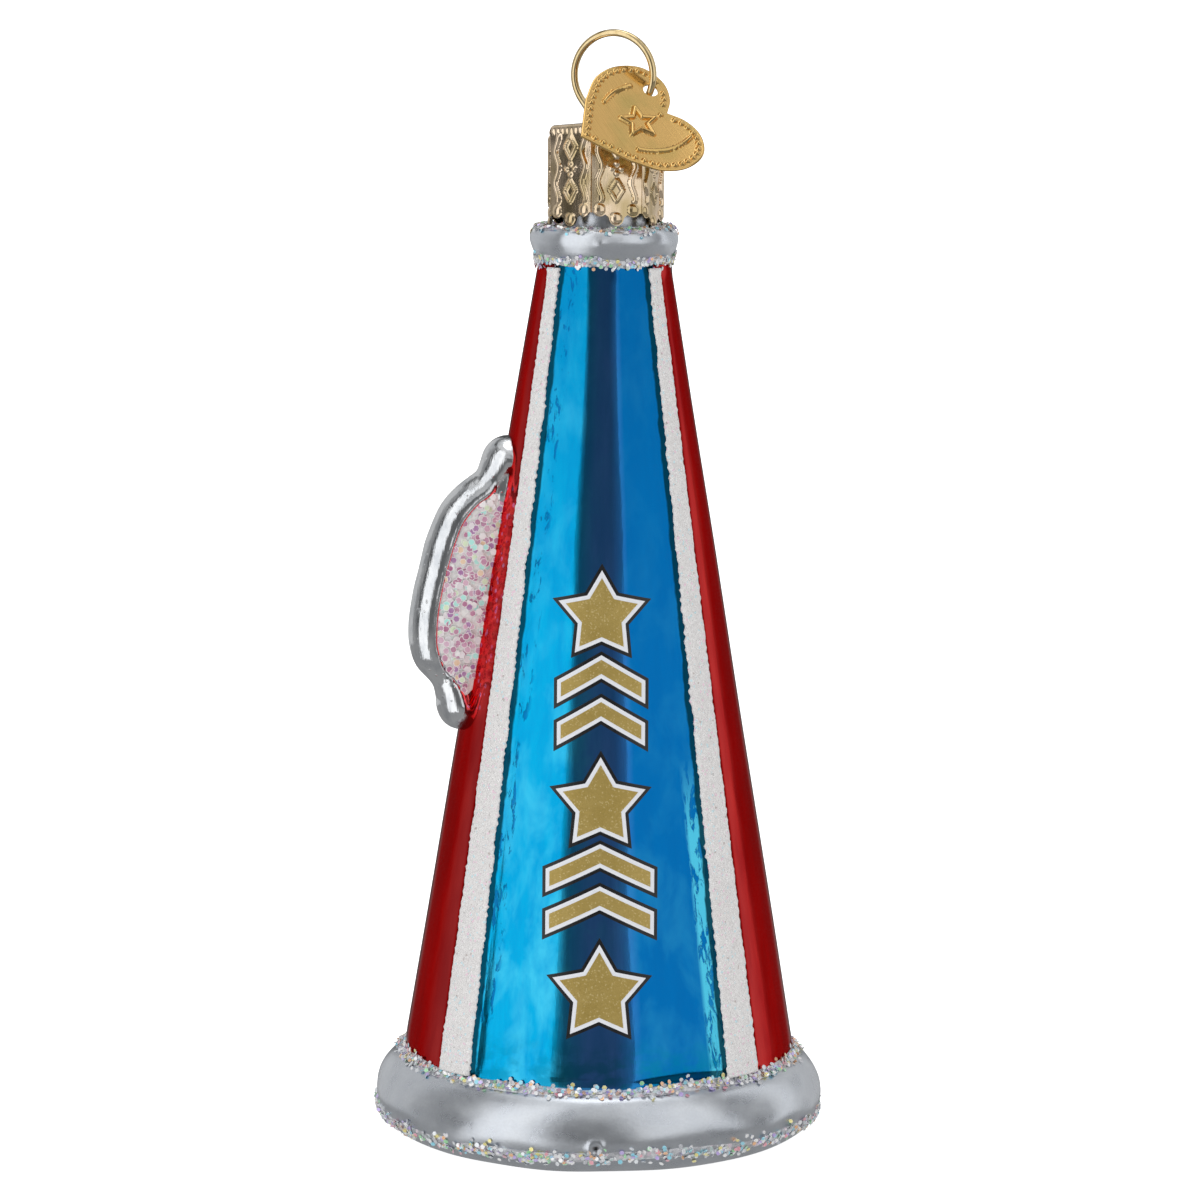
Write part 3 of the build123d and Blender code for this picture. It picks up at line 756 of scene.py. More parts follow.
BANDS = {"mouth_glitter_top": ((7.25, 100.9), 0.95, 0.10, (560, 0.46)),
         "mouth_glitter_bottom": ((7.45, 97.2), 0.75, 0.14, (480, 0.46)),
         "bell_glitter_top": ((22.0, 9.0), 0.95, 0.20, (1100, 0.54)),
         "bell_glitter_bottom": ((24.55, 2.65), 1.0, 0.16, (1250, 0.54))}


def film_flakes(name, centres, normals, size, tilt, tints, material, seed):
    """Hexagonal flakes lying at centres, each tilted at random from its normal."""
    random = np.random.default_rng(seed)
    count = len(centres)
    facing = unit(normals + random.normal(0, math.tan(math.radians(tilt)), (count, 3)))
    across = unit(np.cross(facing, random.normal(0, 1, (count, 3))))
    up = np.cross(facing, across)
    half = size / 2 * random.uniform(0.85, 1.12, count)[:, None, None]
    angle = np.radians(np.arange(0, 360, 60))[None, :, None]
    corners = np.cos(angle) * across[:, None, :] + np.sin(angle) * up[:, None, :]
    middle = centres[:, None, :]
    rings = np.concatenate([middle + corners * half, middle], 1)
    shift = facing[:, None, :] * FLAKE_THICKNESS / 2
    points = np.concatenate([rings - shift, rings + shift], 1).reshape(-1, 3)
    faces = []
    for i in range(0, 14 * count, 14):
        for k in range(6):
            j = (k + 1) % 6
            faces += [[i + 6, i + j, i + k], [i + 13, i + 7 + k, i + 7 + j],
                      [i + k, i + j, i + 7 + j, i + 7 + k]]
    piece = mesh_object(name, points, faces, [material], smooth=False)
    rim = np.tile([1.0] * 6 + [0.0], 2 * count)
    colour_attribute(piece, "tint", np.column_stack([np.repeat(tints, 14, axis=0), rim]))
    return piece


def band_tints(random, count):
    """Random flake tints, mostly white and silver."""
    whites, pastels = (np.array(tints)[random.integers(len(tints), size=count)]
                       for tints in (WHITE_TINTS, PASTEL_TINTS))
    return np.where(random.random(count)[:, None] < WHITE_SHARE, whites, pastels)


def glitter_band(node, outline, materials, seed):
    """A band of glitter glue round the glass, and its flakes. The band wanders a little."""
    middle, half_width, rise, (count, size) = BANDS[node]
    random = np.random.default_rng(seed)
    centre = outline.nearest(middle)
    azimuth = np.arange(-180, 180, 2.0)
    across = np.linspace(-1, 1, 11)[None, :]
    radians = np.radians(azimuth)
    wander = 0.16 * half_width * (np.sin(3 * radians + seed) + np.sin(7 * radians + 2 * seed))
    point, normal = outline.at(centre + wander[:, None] + across * half_width * 0.62)
    lumps = 1 + 0.25 * waves(azimuth[:, None] * 0.4, across * 2, seed, (1.6, 4.0), (2.0, 5.0))
    top = point + normal * (rise * (1 - across**2) * lumps)[..., None]
    loop = np.concatenate([top, point[:, ::-1] - normal[:, ::-1] * 0.15], 1)
    points = turned(azimuth[:, None], loop[..., 0], loop[..., 1])
    faces = grid_faces(*points.shape[:2], closed_rows=True, closed_columns=True)
    bed = mesh_object(node + "_glue", points.reshape(-1, 3), faces, materials[:1])
    around = random.uniform(-180, 180, count)
    spread = np.clip(random.normal(0, 0.50, count), -1.3, 1.3)
    drift = np.interp(around, azimuth, wander, period=360)
    point, normal = outline.at(centre + drift + spread * half_width)
    lifted = rise * np.clip(1 - spread**2, 0, 1) + random.uniform(0.03, 0.17, count)
    place = point + normal * lifted[:, None]
    centres, normals = (turned(around, *line.T) for line in (place, normal))
    return [bed, film_flakes(node + "_flakes", centres, normals, size, BAND_TILT, band_tints(random, count),
                             materials[1], seed + 1)]


def inside_polygon(points, polygon):
    """Which points of a plane lie inside a polygon."""
    x, y = points.T
    inside = np.zeros(len(points), bool)
    for (x1, y1), (x2, y2) in zip(polygon, polygon[1:] + polygon[:1]):
        crosses = (y1 > y) != (y2 > y)
        inside ^= crosses & (x < (x2 - x1) * (y - y1) / (y2 - y1 + 1e-12) + x1)
    return inside


def handle_glitter(node, side, materials, seed):
    """Glitter on one face of the handle's web; side is 1 in front and -1 behind."""
    random = np.random.default_rng(seed)
    r, z = np.meshgrid(*(np.arange(*ends, PATCH_GRID) for ends in PATCH_BOX), indexing="ij")
    spots = np.stack([r.ravel(), z.ravel()], 1) + random.uniform(-0.6, 0.6, (r.size, 2)) * PATCH_GRID
    spots = spots[inside_polygon(spots, PATCH)]
    spots = spots[random.random(len(spots)) < HANDLE_COVER]
    off = WEB_HALF + PATCH_DEPTH + random.uniform(0.03, 0.25, len(spots))
    centres = handle_point(spots[:, 0], spots[:, 1], side * off)
    outward = handle_point(0.0, 0.0, float(side))
    tints = np.array(HANDLE_TINTS)[random.choice(len(HANDLE_TINTS), size=len(spots), p=HANDLE_SHARES)]
    flakes = film_flakes(node + "_flakes", centres, np.tile(outward, (len(spots), 1)), HANDLE_FLAKE_SIZE,
                         PATCH_TILT, tints, materials[1], seed + 1)
    points, faces = slab(PATCH, *sorted((side * (WEB_HALF - 0.3), side * (WEB_HALF + PATCH_DEPTH))))
    bed = mesh_object(node + "_glue", points, faces, materials[:1], smooth=False)
    bevel = bed.modifiers.new("soft_edge", "BEVEL")
    bevel.width, bevel.segments = 0.12 * MM, 2
    apply_modifiers(bed)
    return [bed, flakes]


STRIPE_TUCK = (0.5, 1.5)
STRIPE_GROUND = ([CONE_TOP[1], 97.3], [CONE_TOP[0], 7.45])


def glitter_stripe(node, middle, material, seed):
    """One raised stripe of fine glitter with ragged edges."""
    low, high = (corner.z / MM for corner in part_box(node))
    z = np.arange(low - STRIPE_TUCK[0], high + STRIPE_TUCK[1], 0.24)[:, None]
    across = np.sin(np.linspace(-1, 1, 25) * math.pi / 2)[None, :]
    radius = np.where(z < CONE_TOP[1], cone_r(z), np.interp(z, *STRIPE_GROUND))
    ragged = waves(z, across * 4, seed, (0.5, 1.4), (3.0, 6.0), 9) * 0.11
    ragged += waves(z, across * 4, seed + 1, (3.0, 9.0), (6.0, 12.0), 5) * 0.10
    azimuth = middle + across * STRIPE_HALF + np.degrees(ragged / radius) * np.abs(across) ** 3
    grain = waves(azimuth * 0.3, z, seed + 2, (0.5, 1.3), (0.5, 1.3), 12) * 0.035
    top = 0.12 + 0.30 * np.clip((1 - across**2) * 3.5, 0, 1) ** 0.5 + grain
    rings = np.concatenate([turned(azimuth, radius + top, z), turned(azimuth[:, ::-1], radius - 0.05, z)], 1)
    return mesh_object(node + "_grains", *capped(rings), [material])


# ---------------------------------------------------------------- printed emblems

EMBLEM_COUNT = 5
STAR_R = 5.6
STAR_GROWTH = 0.1
STAR_WAIST = 0.55
STAR_DROP = 0.4
CHEVRON_WIDTH = 9.1
CHEVRON_GROWTH = 1.1
CHEVRON_FEET = (-4.9, -0.4)
CHEVRON_BAND = 3.3
CHEVRON_RISE = 3.0
EMBLEM_TOP_Z = 60.0
EMBLEM_PITCH = 10.05
BLACK_LINE = 0.36
WHITE_LINE = 0.42
COATS = [(0.0, 0.045), (BLACK_LINE, 0.075), (BLACK_LINE + WHITE_LINE, 0.105)]
COAT_FOOT = -0.08
SLICE = 0.4
SLICE_START = 0.013


def inset(polygon, distance):
    """A counter-clockwise polygon moved inwards by a distance, with sharp corners."""
    polygon = np.asarray(polygon, float)
    before, after = unit(polygon - np.roll(polygon, 1, 0)), unit(np.roll(polygon, -1, 0) - polygon)
    normal_before, normal_after = (np.stack([-side[:, 1], side[:, 0]], 1) for side in (before, after))
    share = distance / (1 + (normal_before * normal_after).sum(1))
    return polygon + (normal_before + normal_after) * share[:, None]


def star_shape(index):
    """The star's outline, its centre and the faces that fill it; point 10 is the centre."""
    radius = STAR_R + STAR_GROWTH * index
    reach = [radius * (1 if step % 2 == 0 else STAR_WAIST) for step in range(10)]
    angles = [math.radians(90 + 36 * step) for step in range(10)]
    outline = [(r * math.cos(a), r * math.sin(a) - STAR_DROP) for r, a in zip(reach, angles)]
    return [(outline, [(0.0, -STAR_DROP)], [(10, i, (i + 1) % 10) for i in range(10)])]


def chevron_shape(index):
    """The outlines of two nested chevrons and the faces that fill them."""
    half = (CHEVRON_WIDTH + CHEVRON_GROWTH * index) / 2
    shapes = []
    for foot in CHEVRON_FEET:
        top = foot + CHEVRON_BAND
        outline = [(-half, foot), (0, foot + CHEVRON_RISE), (half, foot), (half, top),
                   (0, top + CHEVRON_RISE), (-half, top)]
        shapes.append((outline, [], [(0, 1, 4, 5), (1, 2, 3, 4)]))
    return shapes


def on_front(x, z, lift):
    """A point of the print, projected straight back onto the cone and lifted off it."""
    radius = cone_r(z)
    azimuth = math.asin(max(-1.0, min(1.0, x / radius)))
    return Vector(((radius + lift) * math.sin(azimuth), -(radius + lift) * math.cos(azimuth), z))


def add_coat(made, outline, extra, faces, height, lift, layer):
    """Adds one coat of print to a bmesh: a flat outline cut into strips, raised and bent to the cone."""
    work = bmesh.new()
    flat = [tuple(point) for point in outline] + extra
    points = [work.verts.new((x, 0, z)) for x, z in flat]
    for face in faces:
        work.faces.new([points[i] for i in face])
    strips = math.floor(max(abs(x) for x, _ in flat) / SLICE)
    for cut in np.arange(-strips, strips + 1) * SLICE + SLICE_START:
        geometry = work.verts[:] + work.edges[:] + work.faces[:]
        bmesh.ops.bisect_plane(work, geom=geometry, plane_co=(cut, 0, 0), plane_no=(1, 0, 0), dist=1e-6)
    raised = set(bmesh.ops.extrude_face_region(work, geom=work.faces[:])["geom"])
    for vertex in work.verts:
        off = lift if vertex in raised else COAT_FOOT
        vertex.co = on_front(vertex.co.x, vertex.co.z + height, off) * MM
    for face in work.faces:
        face.material_index = layer
    bmesh.ops.recalc_face_normals(work, faces=work.faces[:])
    coat = bpy.data.meshes.new("coat")
    work.to_mesh(coat)
    work.free()
    made.from_mesh(coat)
    bpy.data.meshes.remove(coat)


def emblem(index, inks):
    """One printed emblem: black, white and gold coats, each smaller and higher than the last."""
    made = bmesh.new()
    shapes = star_shape(index) if index % 2 == 0 else chevron_shape(index)
    for layer, (distance, lift) in enumerate(COATS):
        for outline, extra, faces in shapes:
            add_coat(made, inset(outline, distance), extra, faces, EMBLEM_TOP_Z - EMBLEM_PITCH * index, lift,
                     layer)
    mesh = bpy.data.meshes.new(f"emblem_{index + 1}_print")
    made.to_mesh(mesh)
    made.free()
    for material in inks:
        mesh.materials.append(material)
    return placed(mesh)


# ---------------------------------------------------------------- cap

PETALS = 7
CAP_CORNER_R = 6.64
CAP_FIRST_SEAM = -13.1
CAP_TOP = 5.2
CAP_SHEET = 0.22
CAP_EDGE_ROUND = 0.6
CAP_HOLE_R = 1.65
CAP_SIDE_FOOT = -4.6
CAP_WELD = 0.004
CAP_SHARP_ANGLE = 42
PETAL_SPREAD = 0.86
SLIT_HALF = 0.1
SLIT_TOP = 4.3
BOSSES = [(-1.85, -4.25), (1.85, -4.25), (0.0, -5.2)]
BOSS_R = 0.62
BOSS_RISE = 0.28
LOBE_RADII = [0.78, 0.78, 0.8]
RIDGE_X = 1.85
RIDGE_SWING = 0.24
RIDGE_PERIOD = 3.45
RIDGE_HALF = 0.30
RIDGE_RISE = 0.30
LOZENGE_HALF = (0.75, 1.15)
LOZENGE_HEIGHTS = (2.6, -2.2)
DOTS_HEIGHT = 0.2
DOTS_R = 0.55
MARK_RISE = 0.22
BEAD_ROW_HEIGHT = 4.45
BEAD_ROW_PITCH = 0.62


def lobed_foot(x):
    """Height of the petal's lower edge across its width."""
    foot = np.minimum(CAP_SIDE_FOOT, np.interp(np.abs(x), [0.6, 1.5], [-5.3, CAP_SIDE_FOOT]))
    for (centre, height), radius in zip(BOSSES, LOBE_RADII):
        inside = np.clip(radius**2 - (x - centre) ** 2, 0, None)
        foot = np.where(inside > 0, np.minimum(foot, height - np.sqrt(inside)), foot)
    return foot


def line_ridge(distance, half_width, rise):
    """A rounded ridge over a line."""
    return rise * np.clip(1 - (distance / half_width) ** 2, 0, 1) ** 0.7


def line_distance(x, y, corners):
    """Distance from points to a run of straight segments."""
    away = []
    for (x1, y1), (x2, y2) in zip(corners, corners[1:]):
        run, rise = x2 - x1, y2 - y1
        share = np.clip(((x - x1) * run + (y - y1) * rise) / (run**2 + rise**2), 0, 1)
        away.append(np.hypot(x - x1 - share * run, y - y1 - share * rise))
    return np.min(away, axis=0)


def petal_relief(x, h):
    """Height of the stamping on a petal: wavy ridges, three generic marks, a bead row and bosses."""
    relief = np.zeros(x.shape)
    fade = np.clip((h + 3.7) / 0.4, 0, 1) * np.clip((4.2 - h) / 0.4, 0, 1)
    for side in (-1, 1):
        line = side * RIDGE_X + RIDGE_SWING * np.sin(2 * math.pi * h / RIDGE_PERIOD + 0.8)
        relief = np.maximum(relief, fade * line_ridge(x - line, RIDGE_HALF, RIDGE_RISE))
    wide, tall = LOZENGE_HALF
    for middle in LOZENGE_HEIGHTS:
        lozenge = [(0, middle + tall), (-wide, middle), (0, middle - tall), (wide, middle),
                   (0, middle + tall)]
        relief = np.maximum(relief, line_ridge(line_distance(x, h, lozenge), 0.21, MARK_RISE))
    for turn in np.arange(4) * math.pi / 2:
        away = np.hypot(x - DOTS_R * math.cos(turn), h - DOTS_HEIGHT - DOTS_R * math.sin(turn))
        relief = np.maximum(relief, line_ridge(away, 0.27, MARK_RISE))
    for centre, height in BOSSES:
        away = np.hypot(x - centre, h - height)
        relief = np.maximum(relief, BOSS_RISE * np.clip(1 - (away / BOSS_R) ** 2, 0, 1) ** 0.5)
        relief = relief - 0.06 * np.exp(-((away - BOSS_R - 0.12) / 0.09) ** 2)
    bead_x = np.abs((x / BEAD_ROW_PITCH + 0.5) % 1 - 0.5) * BEAD_ROW_PITCH
    return np.maximum(relief, line_ridge(np.hypot(bead_x, h - BEAD_ROW_HEIGHT), 0.2, 0.13))


def cap_frame():
    """Rest axes and origin of the cap's own frame, from the joint that the hanger turns on."""
    joint = joints["hanger_turn"]
    up = Vector(joint["axis"]).normalized()
    across = Vector((1, 0, 0))
    return np.array((across, up.cross(across), up)), np.array(joint["pos_m"]) / MM


def stamped_cap(material):
    """The cap: seven slit petals hanging from a domed top plate with one hole."""
    apothem = CAP_CORNER_R * math.cos(math.pi / PETALS)
    slope = math.tan(math.pi / PETALS)
    fan = np.sin(np.linspace(-1, 1, 61) * math.pi / 2 * PETAL_SPREAD)
    share = (fan / math.sin(math.pi / 2 * PETAL_SPREAD))[None, :]
    plate = np.linspace(0, 1, 10)[:, None]
    hole = CAP_HOLE_R * np.cos(np.arctan(share * slope))
    flat_end = apothem - CAP_EDGE_ROUND
    bend = np.radians(np.linspace(0, 90, 8))[1:-1][:, None]
    fall = np.concatenate([np.linspace(0, 0.12, 6), np.linspace(0.12, 1, 84)[1:]])[:, None]
    petal_top = CAP_TOP - CAP_EDGE_ROUND
    half = apothem * slope - SLIT_HALF / math.cos(math.pi / PETALS)
    foot = lobed_foot(half * share)
    parts = []
    for drop, depth in ((0.0, 1.0), (CAP_SHEET, 0.85)):
        rounding = CAP_EDGE_ROUND - drop
        out = np.concatenate([hole + (flat_end - hole) * plate, flat_end + rounding * np.sin(bend) + 0 * hole,
                              apothem - drop + 0 * fall + 0 * hole])
        up = np.concatenate([CAP_TOP - drop + 0 * plate + 0 * hole,
                             petal_top + rounding * np.cos(bend) + 0 * hole,
                             petal_top + (foot - petal_top) * fall])
        below = np.clip((SLIT_TOP - up) / 0.15, 0, 1)
        x = out * slope * share * (1 - below) + below * half * share
        hanging = np.arange(len(out))[:, None] >= len(plate) + len(bend)
        relief = depth * np.where(hanging, petal_relief(x, up), 0.0)
        bow = np.where(hanging, -0.10 * (x / half) ** 2 * np.clip((petal_top - up) / 2, 0, 1), 0.0)
        parts.append(np.stack([x, out + relief + bow, up], -1))
    rows, columns = parts[0].shape[:2]
    size = rows * columns
    faces = grid_faces(rows, columns)
    faces += [[index + size for index in face[::-1]] for face in faces]
    edges = [(i * columns + column, (i + 1) * columns + column, flip) for i in range(rows - 1)
             for column, flip in ((0, 1), (columns - 1, -1)) if parts[0][i, column, 2] < SLIT_TOP]
    edges += [(row * columns + j, row * columns + j + 1, flip) for j in range(columns - 1)
              for row, flip in ((0, -1), (rows - 1, 1))]
    faces += [[a, b, b + size, a + size][::flip] for a, b, flip in edges]
    x, out, up = np.concatenate([part.reshape(-1, 3) for part in parts]).T[..., None]
    axes, origin = cap_frame()
    sectors = []
    for index in range(PETALS):
        azimuth = math.radians(CAP_FIRST_SEAM + 360 / PETALS * (index + 0.5))
        local = (x * [math.cos(azimuth), math.sin(azimuth), 0]
                 + out * [math.sin(azimuth), -math.cos(azimuth), 0] + up * [0, 0, 1])
        sectors.append((local @ axes + origin, faces))
    piece = mesh_object("stamped_cap", *merged(sectors), [material])
    mend(piece.data, weld=CAP_WELD)
    piece.data.set_sharp_from_angle(angle=math.radians(CAP_SHARP_ANGLE))
    return piece


# ---------------------------------------------------------------- heart tag

TAG_THICKNESS = 0.28
TAG_HOLE = (-3.45, 11.4)
TAG_HOLE_R = 0.85
TAG_HALF = [(0, 0), (4.6, 3.45), (7.1, 6.5), (7.65, 9.0), (6.4, 12.3), (3.7, 13.4), (1.5, 12.8), (0, 11.5)]
TAG_CENTRE = (0.0, 8.0)
TAG_ACROSS = Vector((0.511, -0.506, -0.695)).normalized()
TAG_FACE = Vector((0.272, -0.672, 0.689)).normalized()
TAG_UP = TAG_FACE.cross(TAG_ACROSS).normalized()
TAG_LIFT = 0.3
TAG_CURL = 0.2
BEAD_INSET = 0.70
BEAD_PITCH = 0.98
BEAD_R = 0.34
BEAD_RISE = 0.34
TAG_STAR_RADII = (2.1, 0.95)
TAG_STAR_MIDDLE = (0.2, 7.6)
SCROLL_HALF = 0.3
SCROLL_RISE = 0.38
EDGE_POINTS = 640
TAG_SHARP_ANGLE = 50


def heart_edge():
    """Evenly spaced points of the heart's outline, from the tip round to the tip, and its length."""
    run = np.linspace(TAG_HALF[0], TAG_HALF[1], 12, endpoint=False)
    half = np.concatenate([run, smooth_line(TAG_HALF[1:], 0.08)])
    whole = np.concatenate([half, (half * [-1, 1])[::-1]])[:-1]
    closed = np.concatenate([whole, whole[:1]])
    along = run_lengths(closed)
    at = np.linspace(0, along[-1], EDGE_POINTS, endpoint=False)
    return np.stack([np.interp(at, along, closed[:, i]) for i in (0, 1)], 1), along[-1]


def tag_relief(points, edge, length):
    """Stamping of the tag: a row of beads inside its edge, a star outline and two flourishes."""
    x, y = points[..., 0], points[..., 1]
    relief = np.zeros(x.shape)
    inward = inset(edge, BEAD_INSET)
    beads = int(length / BEAD_PITCH)
    for k in range(beads):
        cx, cy = inward[int((k + 0.5) * len(edge) / beads) % len(edge)]
        if math.hypot(cx - TAG_HOLE[0], cy - TAG_HOLE[1]) > TAG_HOLE_R + BEAD_R + 0.1:
            relief = np.maximum(relief, line_ridge(np.hypot(x - cx, y - cy), BEAD_R, BEAD_RISE))
    star = [(TAG_STAR_RADII[k % 2] * math.sin(k * math.pi / 5) + TAG_STAR_MIDDLE[0],
             TAG_STAR_RADII[k % 2] * math.cos(k * math.pi / 5) + TAG_STAR_MIDDLE[1]) for k in range(11)]
    curls = [[(side * (3.2 + 1.5 * math.sin(t)), 6.0 + 1.9 * t - 1.2 * math.cos(t))
              for t in (np.linspace(0.1, 1, 14) * 2.6)[:count]] for side, count in ((-1, 9), (1, 14))]
    for line in (star, *curls):
        relief = np.maximum(relief, line_ridge(line_distance(x, y, line), SCROLL_HALF, SCROLL_RISE))
    from_hole = np.hypot(x - TAG_HOLE[0], y - TAG_HOLE[1])
    return relief * np.clip((from_hole - TAG_HOLE_R - 0.15) / 0.2, 0, 1)


def heart_tag(material):
    """The stamped heart: a thin sheet with the relief raised in front and a shallow one behind."""
    edge, length = heart_edge()
    share = np.concatenate([np.linspace(0.03, 0.72, 44, endpoint=False), np.linspace(0.72, 0.985, 34),
                            [0.996, 1.0]])[:, None, None]
    flat = np.array(TAG_CENTRE) + (edge - np.array(TAG_CENTRE))[None] * share
    relief = tag_relief(flat, edge, length)
    curl = TAG_CURL * ((flat[..., 0] / 7) ** 2 + ((flat[..., 1] - 7) / 7) ** 2)
    skin = TAG_THICKNESS / 2 * (0.55 + 0.45 * np.clip((1 - share[..., 0]) / 0.015, 0, 1) ** 0.5)
    sheets = [relief + skin + curl, relief * 0.55 - skin + curl]
    rows, columns = sheets[0].shape
    size = rows * columns
    skins = [np.concatenate([flat, height[..., None]], -1).reshape(-1, 3) for height in sheets]
    points = np.concatenate(skins + [[(*TAG_CENTRE, height[0].mean()) for height in sheets]])
    faces = grid_faces(rows, columns, closed_columns=True)
    faces += [face[::-1] for face in grid_faces(rows, columns, closed_columns=True, start=size)]
    last = (rows - 1) * columns
    for i in range(columns):
        j = (i + 1) % columns
        faces.append([last + i, last + j, size + last + j, size + last + i])
        faces.append([2 * size, i, j][::-1])
        faces.append([2 * size + 1, size + j, size + i][::-1])
    hinge = Vector(joints["tag_swing"]["pos_m"]) / MM + TAG_FACE * TAG_LIFT
    local = points - [*TAG_HOLE, 0]
    piece = mesh_object("stamped_heart", local @ np.array([TAG_ACROSS, TAG_UP, TAG_FACE]) + np.array(hinge),
                        faces, [material])
    cutter_path = [hinge + TAG_FACE * d for d in (-1.5, -0.5, 0.5, 1.5)]
    cutter = mesh_object("hole_cutter", *capped(tube_rings(cutter_path, TAG_HOLE_R, 48)), [material])
    for target in (piece, cutter):
        mend(target.data)
    hole = piece.modifiers.new("hole", "BOOLEAN")
    hole.operation, hole.solver, hole.object = "DIFFERENCE", "EXACT", cutter
    apply_modifiers(piece)
    bpy.data.objects.remove(cutter)
    piece.data.set_sharp_from_angle(angle=math.radians(TAG_SHARP_ANGLE))
    return piece


# ---------------------------------------------------------------- stage, light and camera

STAGE_CENTRE = (0, 0, 60)
PANEL_DISTANCE = 900.0
FRONT_GLOW = 0.14
SPILL_STEPS = 6
FLOOR_REACH = 40000.0
FLOOR_Z = -0.02
CAMERA_PLACE = Vector((-0.0002, -0.514, 0.130))
CAMERA_PITCH = -7.81
CAMERA_ROLL = 0.4
CAMERA_LENS = 140.5


def light_panel(name, azimuths, elevations, radiance):
    """A soft light: a patch of a sphere round the object, between azimuths and elevations."""
    azimuth = np.radians(np.linspace(*azimuths, 13))[None, :]
    elevation = np.radians(np.linspace(*elevations, 9))[:, None]
    flat = np.cos(elevation)
    points = np.stack([flat * np.sin(azimuth), -flat * np.cos(azimuth), np.sin(elevation) + 0 * azimuth], -1)
    material = bpy.data.materials.new(name)
    material.use_nodes = True
    tree = material.node_tree
    tree.nodes.clear()
    glow = tree.nodes.new("ShaderNodeEmission")
    glow.inputs["Strength"].default_value = radiance
    tree.links.new(glow.outputs[0], tree.nodes.new("ShaderNodeOutputMaterial").inputs["Surface"])
    points = points.reshape(-1, 3) * PANEL_DISTANCE + STAGE_CENTRE
    panel = mesh_object(name, points, grid_faces(9, 13), [material])
    panel.visible_camera = False
    panel.visible_shadow = False
    panel.visible_diffuse = radiance > FRONT_GLOW


def lighting():
    """A dark front between two tall soft boxes, dim panels behind, and light from above."""
    light_panel("box_left", (-71, -27), (-34, 58), 1.12)
    light_panel("box_right", (20, 75), (-6, 58), 0.86)
    for step in range(SPILL_STEPS):
        fade = (1 - (step + 0.5) / SPILL_STEPS) ** 1.5
        light_panel(f"spill_left_{step}", (-27 + step, -26 + step), (-6, 50), FRONT_GLOW + 0.55 * fade)
        light_panel(f"spill_right_{step}", (18 - 2 * step, 20 - 2 * step), (-6, 50), FRONT_GLOW + 0.25 * fade)
    light_panel("side_left", (-104, -84), (-16, 58), 0.30)
    light_panel("back_left", (-162, -104), (-16, 50), 0.54)
    light_panel("side_right", (75, 98), (-16, 58), 0.22)
    light_panel("rim_right", (98, 122), (-16, 50), 0.84)
    light_panel("back_right", (122, 164), (-16, 50), 0.52)
    light_panel("front_low", (-21, 8), (-6, 27), FRONT_GLOW)
    light_panel("front_high", (-27, 20), (27, 58), 0.50)
    light_panel("ring_high", (-180, 180), (58, 72), 0.65)
    light_panel("overhead", (-180, 180), (72, 90), 1.7)


def world():
    """White behind the object, even light for matt surfaces, and dim surroundings for reflections."""
    made = bpy.data.worlds.new("studio")
    bpy.context.scene.world = made
    made.use_nodes = True
    made.cycles.sampling_method = "NONE"
    tree = made.node_tree
    tree.nodes.clear()
    path = tree.nodes.new("ShaderNodeLightPath")
    height = tree.nodes.new("ShaderNodeSeparateXYZ")
    tree.links.new(tree.nodes.new("ShaderNodeTexCoord").outputs["Generated"], height.inputs[0])
    ramp = tree.nodes.new("ShaderNodeMapRange")
    tree.links.new(height.outputs["Z"], ramp.inputs[0])
    for index, value in enumerate((-0.05, -0.30, 0.115, 0.36), start=1):
        ramp.inputs[index].default_value = value
    strength = ramp.outputs[0]
    for rays, seen in (("Is Diffuse Ray", 1.20), ("Is Camera Ray", 1.25)):
        blend = tree.nodes.new("ShaderNodeMix")
        blend.data_type = "FLOAT"
        tree.links.new(path.outputs[rays], blend.inputs[0])
        tree.links.new(strength, blend.inputs[2])
        blend.inputs[3].default_value = seen
        strength = blend.outputs[0]
    glow = tree.nodes.new("ShaderNodeBackground")
    tree.links.new(strength, glow.inputs["Strength"])
    tree.links.new(glow.outputs[0], tree.nodes.new("ShaderNodeOutputWorld").inputs["Surface"])


def floor():
    """A plain pale floor that the reflections don't see."""
    corners = [(x * FLOOR_REACH, y * FLOOR_REACH, 0) for x, y in ((-1, -1), (1, -1), (1, 1), (-1, 1))]
    s = Shader("pale_floor", Roughness=0.9, Specular_IOR_Level=0.0, Emission_Strength=0.85,
               Emission_Color=(1, 1, 1, 1))
    material = s.finish(Base_Color=s.mix(s.noise(400, 2.0), (0.80, 0.80, 0.80), (0.82, 0.82, 0.82)))
    material.cycles.emission_sampling = "NONE"
    piece = mesh_object("floor", corners, [[0, 1, 2, 3]], [material], smooth=False)
    piece.location.z = FLOOR_Z * MM
    piece.visible_glossy = piece.visible_diffuse = piece.visible_shadow = False


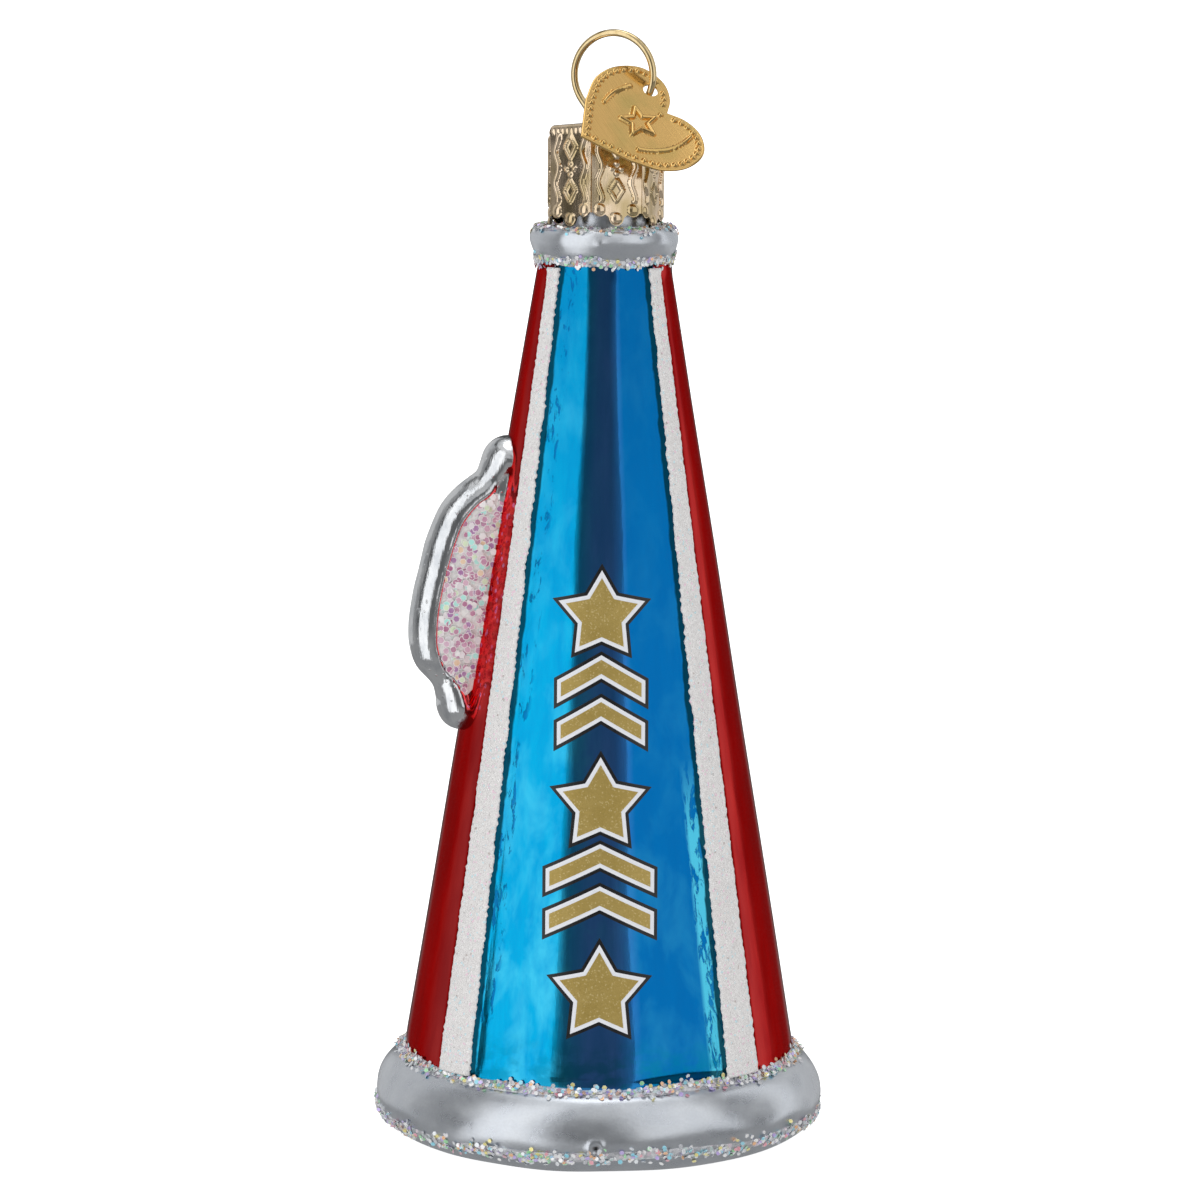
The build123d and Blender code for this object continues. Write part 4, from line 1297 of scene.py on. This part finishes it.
def camera():
    """The camera at the photograph's angle."""
    data = bpy.data.cameras.new("camera")
    data.lens, data.sensor_width = CAMERA_LENS, 36.0
    data.clip_start, data.clip_end = 0.01, 200.0
    made = placed(data)
    tilt = Matrix.Rotation(math.radians(90 + CAMERA_PITCH), 4, "X")
    roll = Matrix.Rotation(math.radians(CAMERA_ROLL), 4, "Z")
    made.matrix_world = Matrix.Translation(CAMERA_PLACE) @ tilt @ roll
    bpy.context.scene.camera = made


# ---------------------------------------------------------------- the ornament


def stand_for(pieces, node, body):
    """Pieces that stand for a CAD node, on its body; the node itself is hidden."""
    for piece in pieces:
        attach(piece, body)
        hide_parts(node)


def build_ornament():
    """Every visible piece, in place of its CAD node."""
    line, zones = outer_profile()
    outline = Outline(line)
    glass = glass_body(outline, zones, [lacquer_blue(), lacquer_red(), silver_paint(), bare_silver()])
    stand_for([glass, glass_handle(chrome_glass())], "glass_body", "glass_ornament")

    grains = stripe_glitter()
    for seed, (node, middle) in enumerate(STRIPE_MIDDLES.items(), start=21):
        stand_for([glitter_stripe(node, middle, grains, seed)], node, "glass_ornament")

    materials = [glue_bed("clear_glue", 0.35, (0.38, 0.39, 0.42), (0.78, 0.79, 0.82)),
                 flake_film("flake_film", 0.30, 0.9, (0.66, 0.68, 0.72), 0.45)]
    for seed, node in enumerate(BANDS, start=41):
        stand_for(glitter_band(node, outline, materials, seed), node, "glass_ornament")

    materials = [glue_bed("handle_glue", 0.0, (0.80, 0.76, 0.76), (0.96, 0.95, 0.93)),
                 flake_film("handle_film", 0.05, 0.35, (1.0, 0.98, 0.98), 0.95)]
    for seed, (node, side) in enumerate((("handle_glitter_front", 1), ("handle_glitter_back", -1)), start=61):
        stand_for(handle_glitter(node, side, materials, seed), node, "glass_ornament")

    inks = [ink("black_ink", (0.006, 0.006, 0.007), (0.014, 0.014, 0.016), 0.30),
            ink("white_ink", (0.80, 0.82, 0.88), (0.88, 0.90, 0.94), 0.35), gold_print()]
    for index in range(EMBLEM_COUNT):
        stand_for([emblem(index, inks)], f"emblem_{index + 1}", "glass_ornament")

    stand_for([stamped_cap(cap_brass())], "cap", "cap")
    stand_for([heart_tag(tag_brass(TAG_ACROSS, TAG_UP))], "heart_tag", "tag")
    wire = frame["nodes"]["hanger_wire"]
    wire.data.materials.clear()
    wire.data.materials.append(wire_brass())


build_ornament()
world()
lighting()
floor()
camera()
bpy.context.scene.view_settings.view_transform = "Standard"
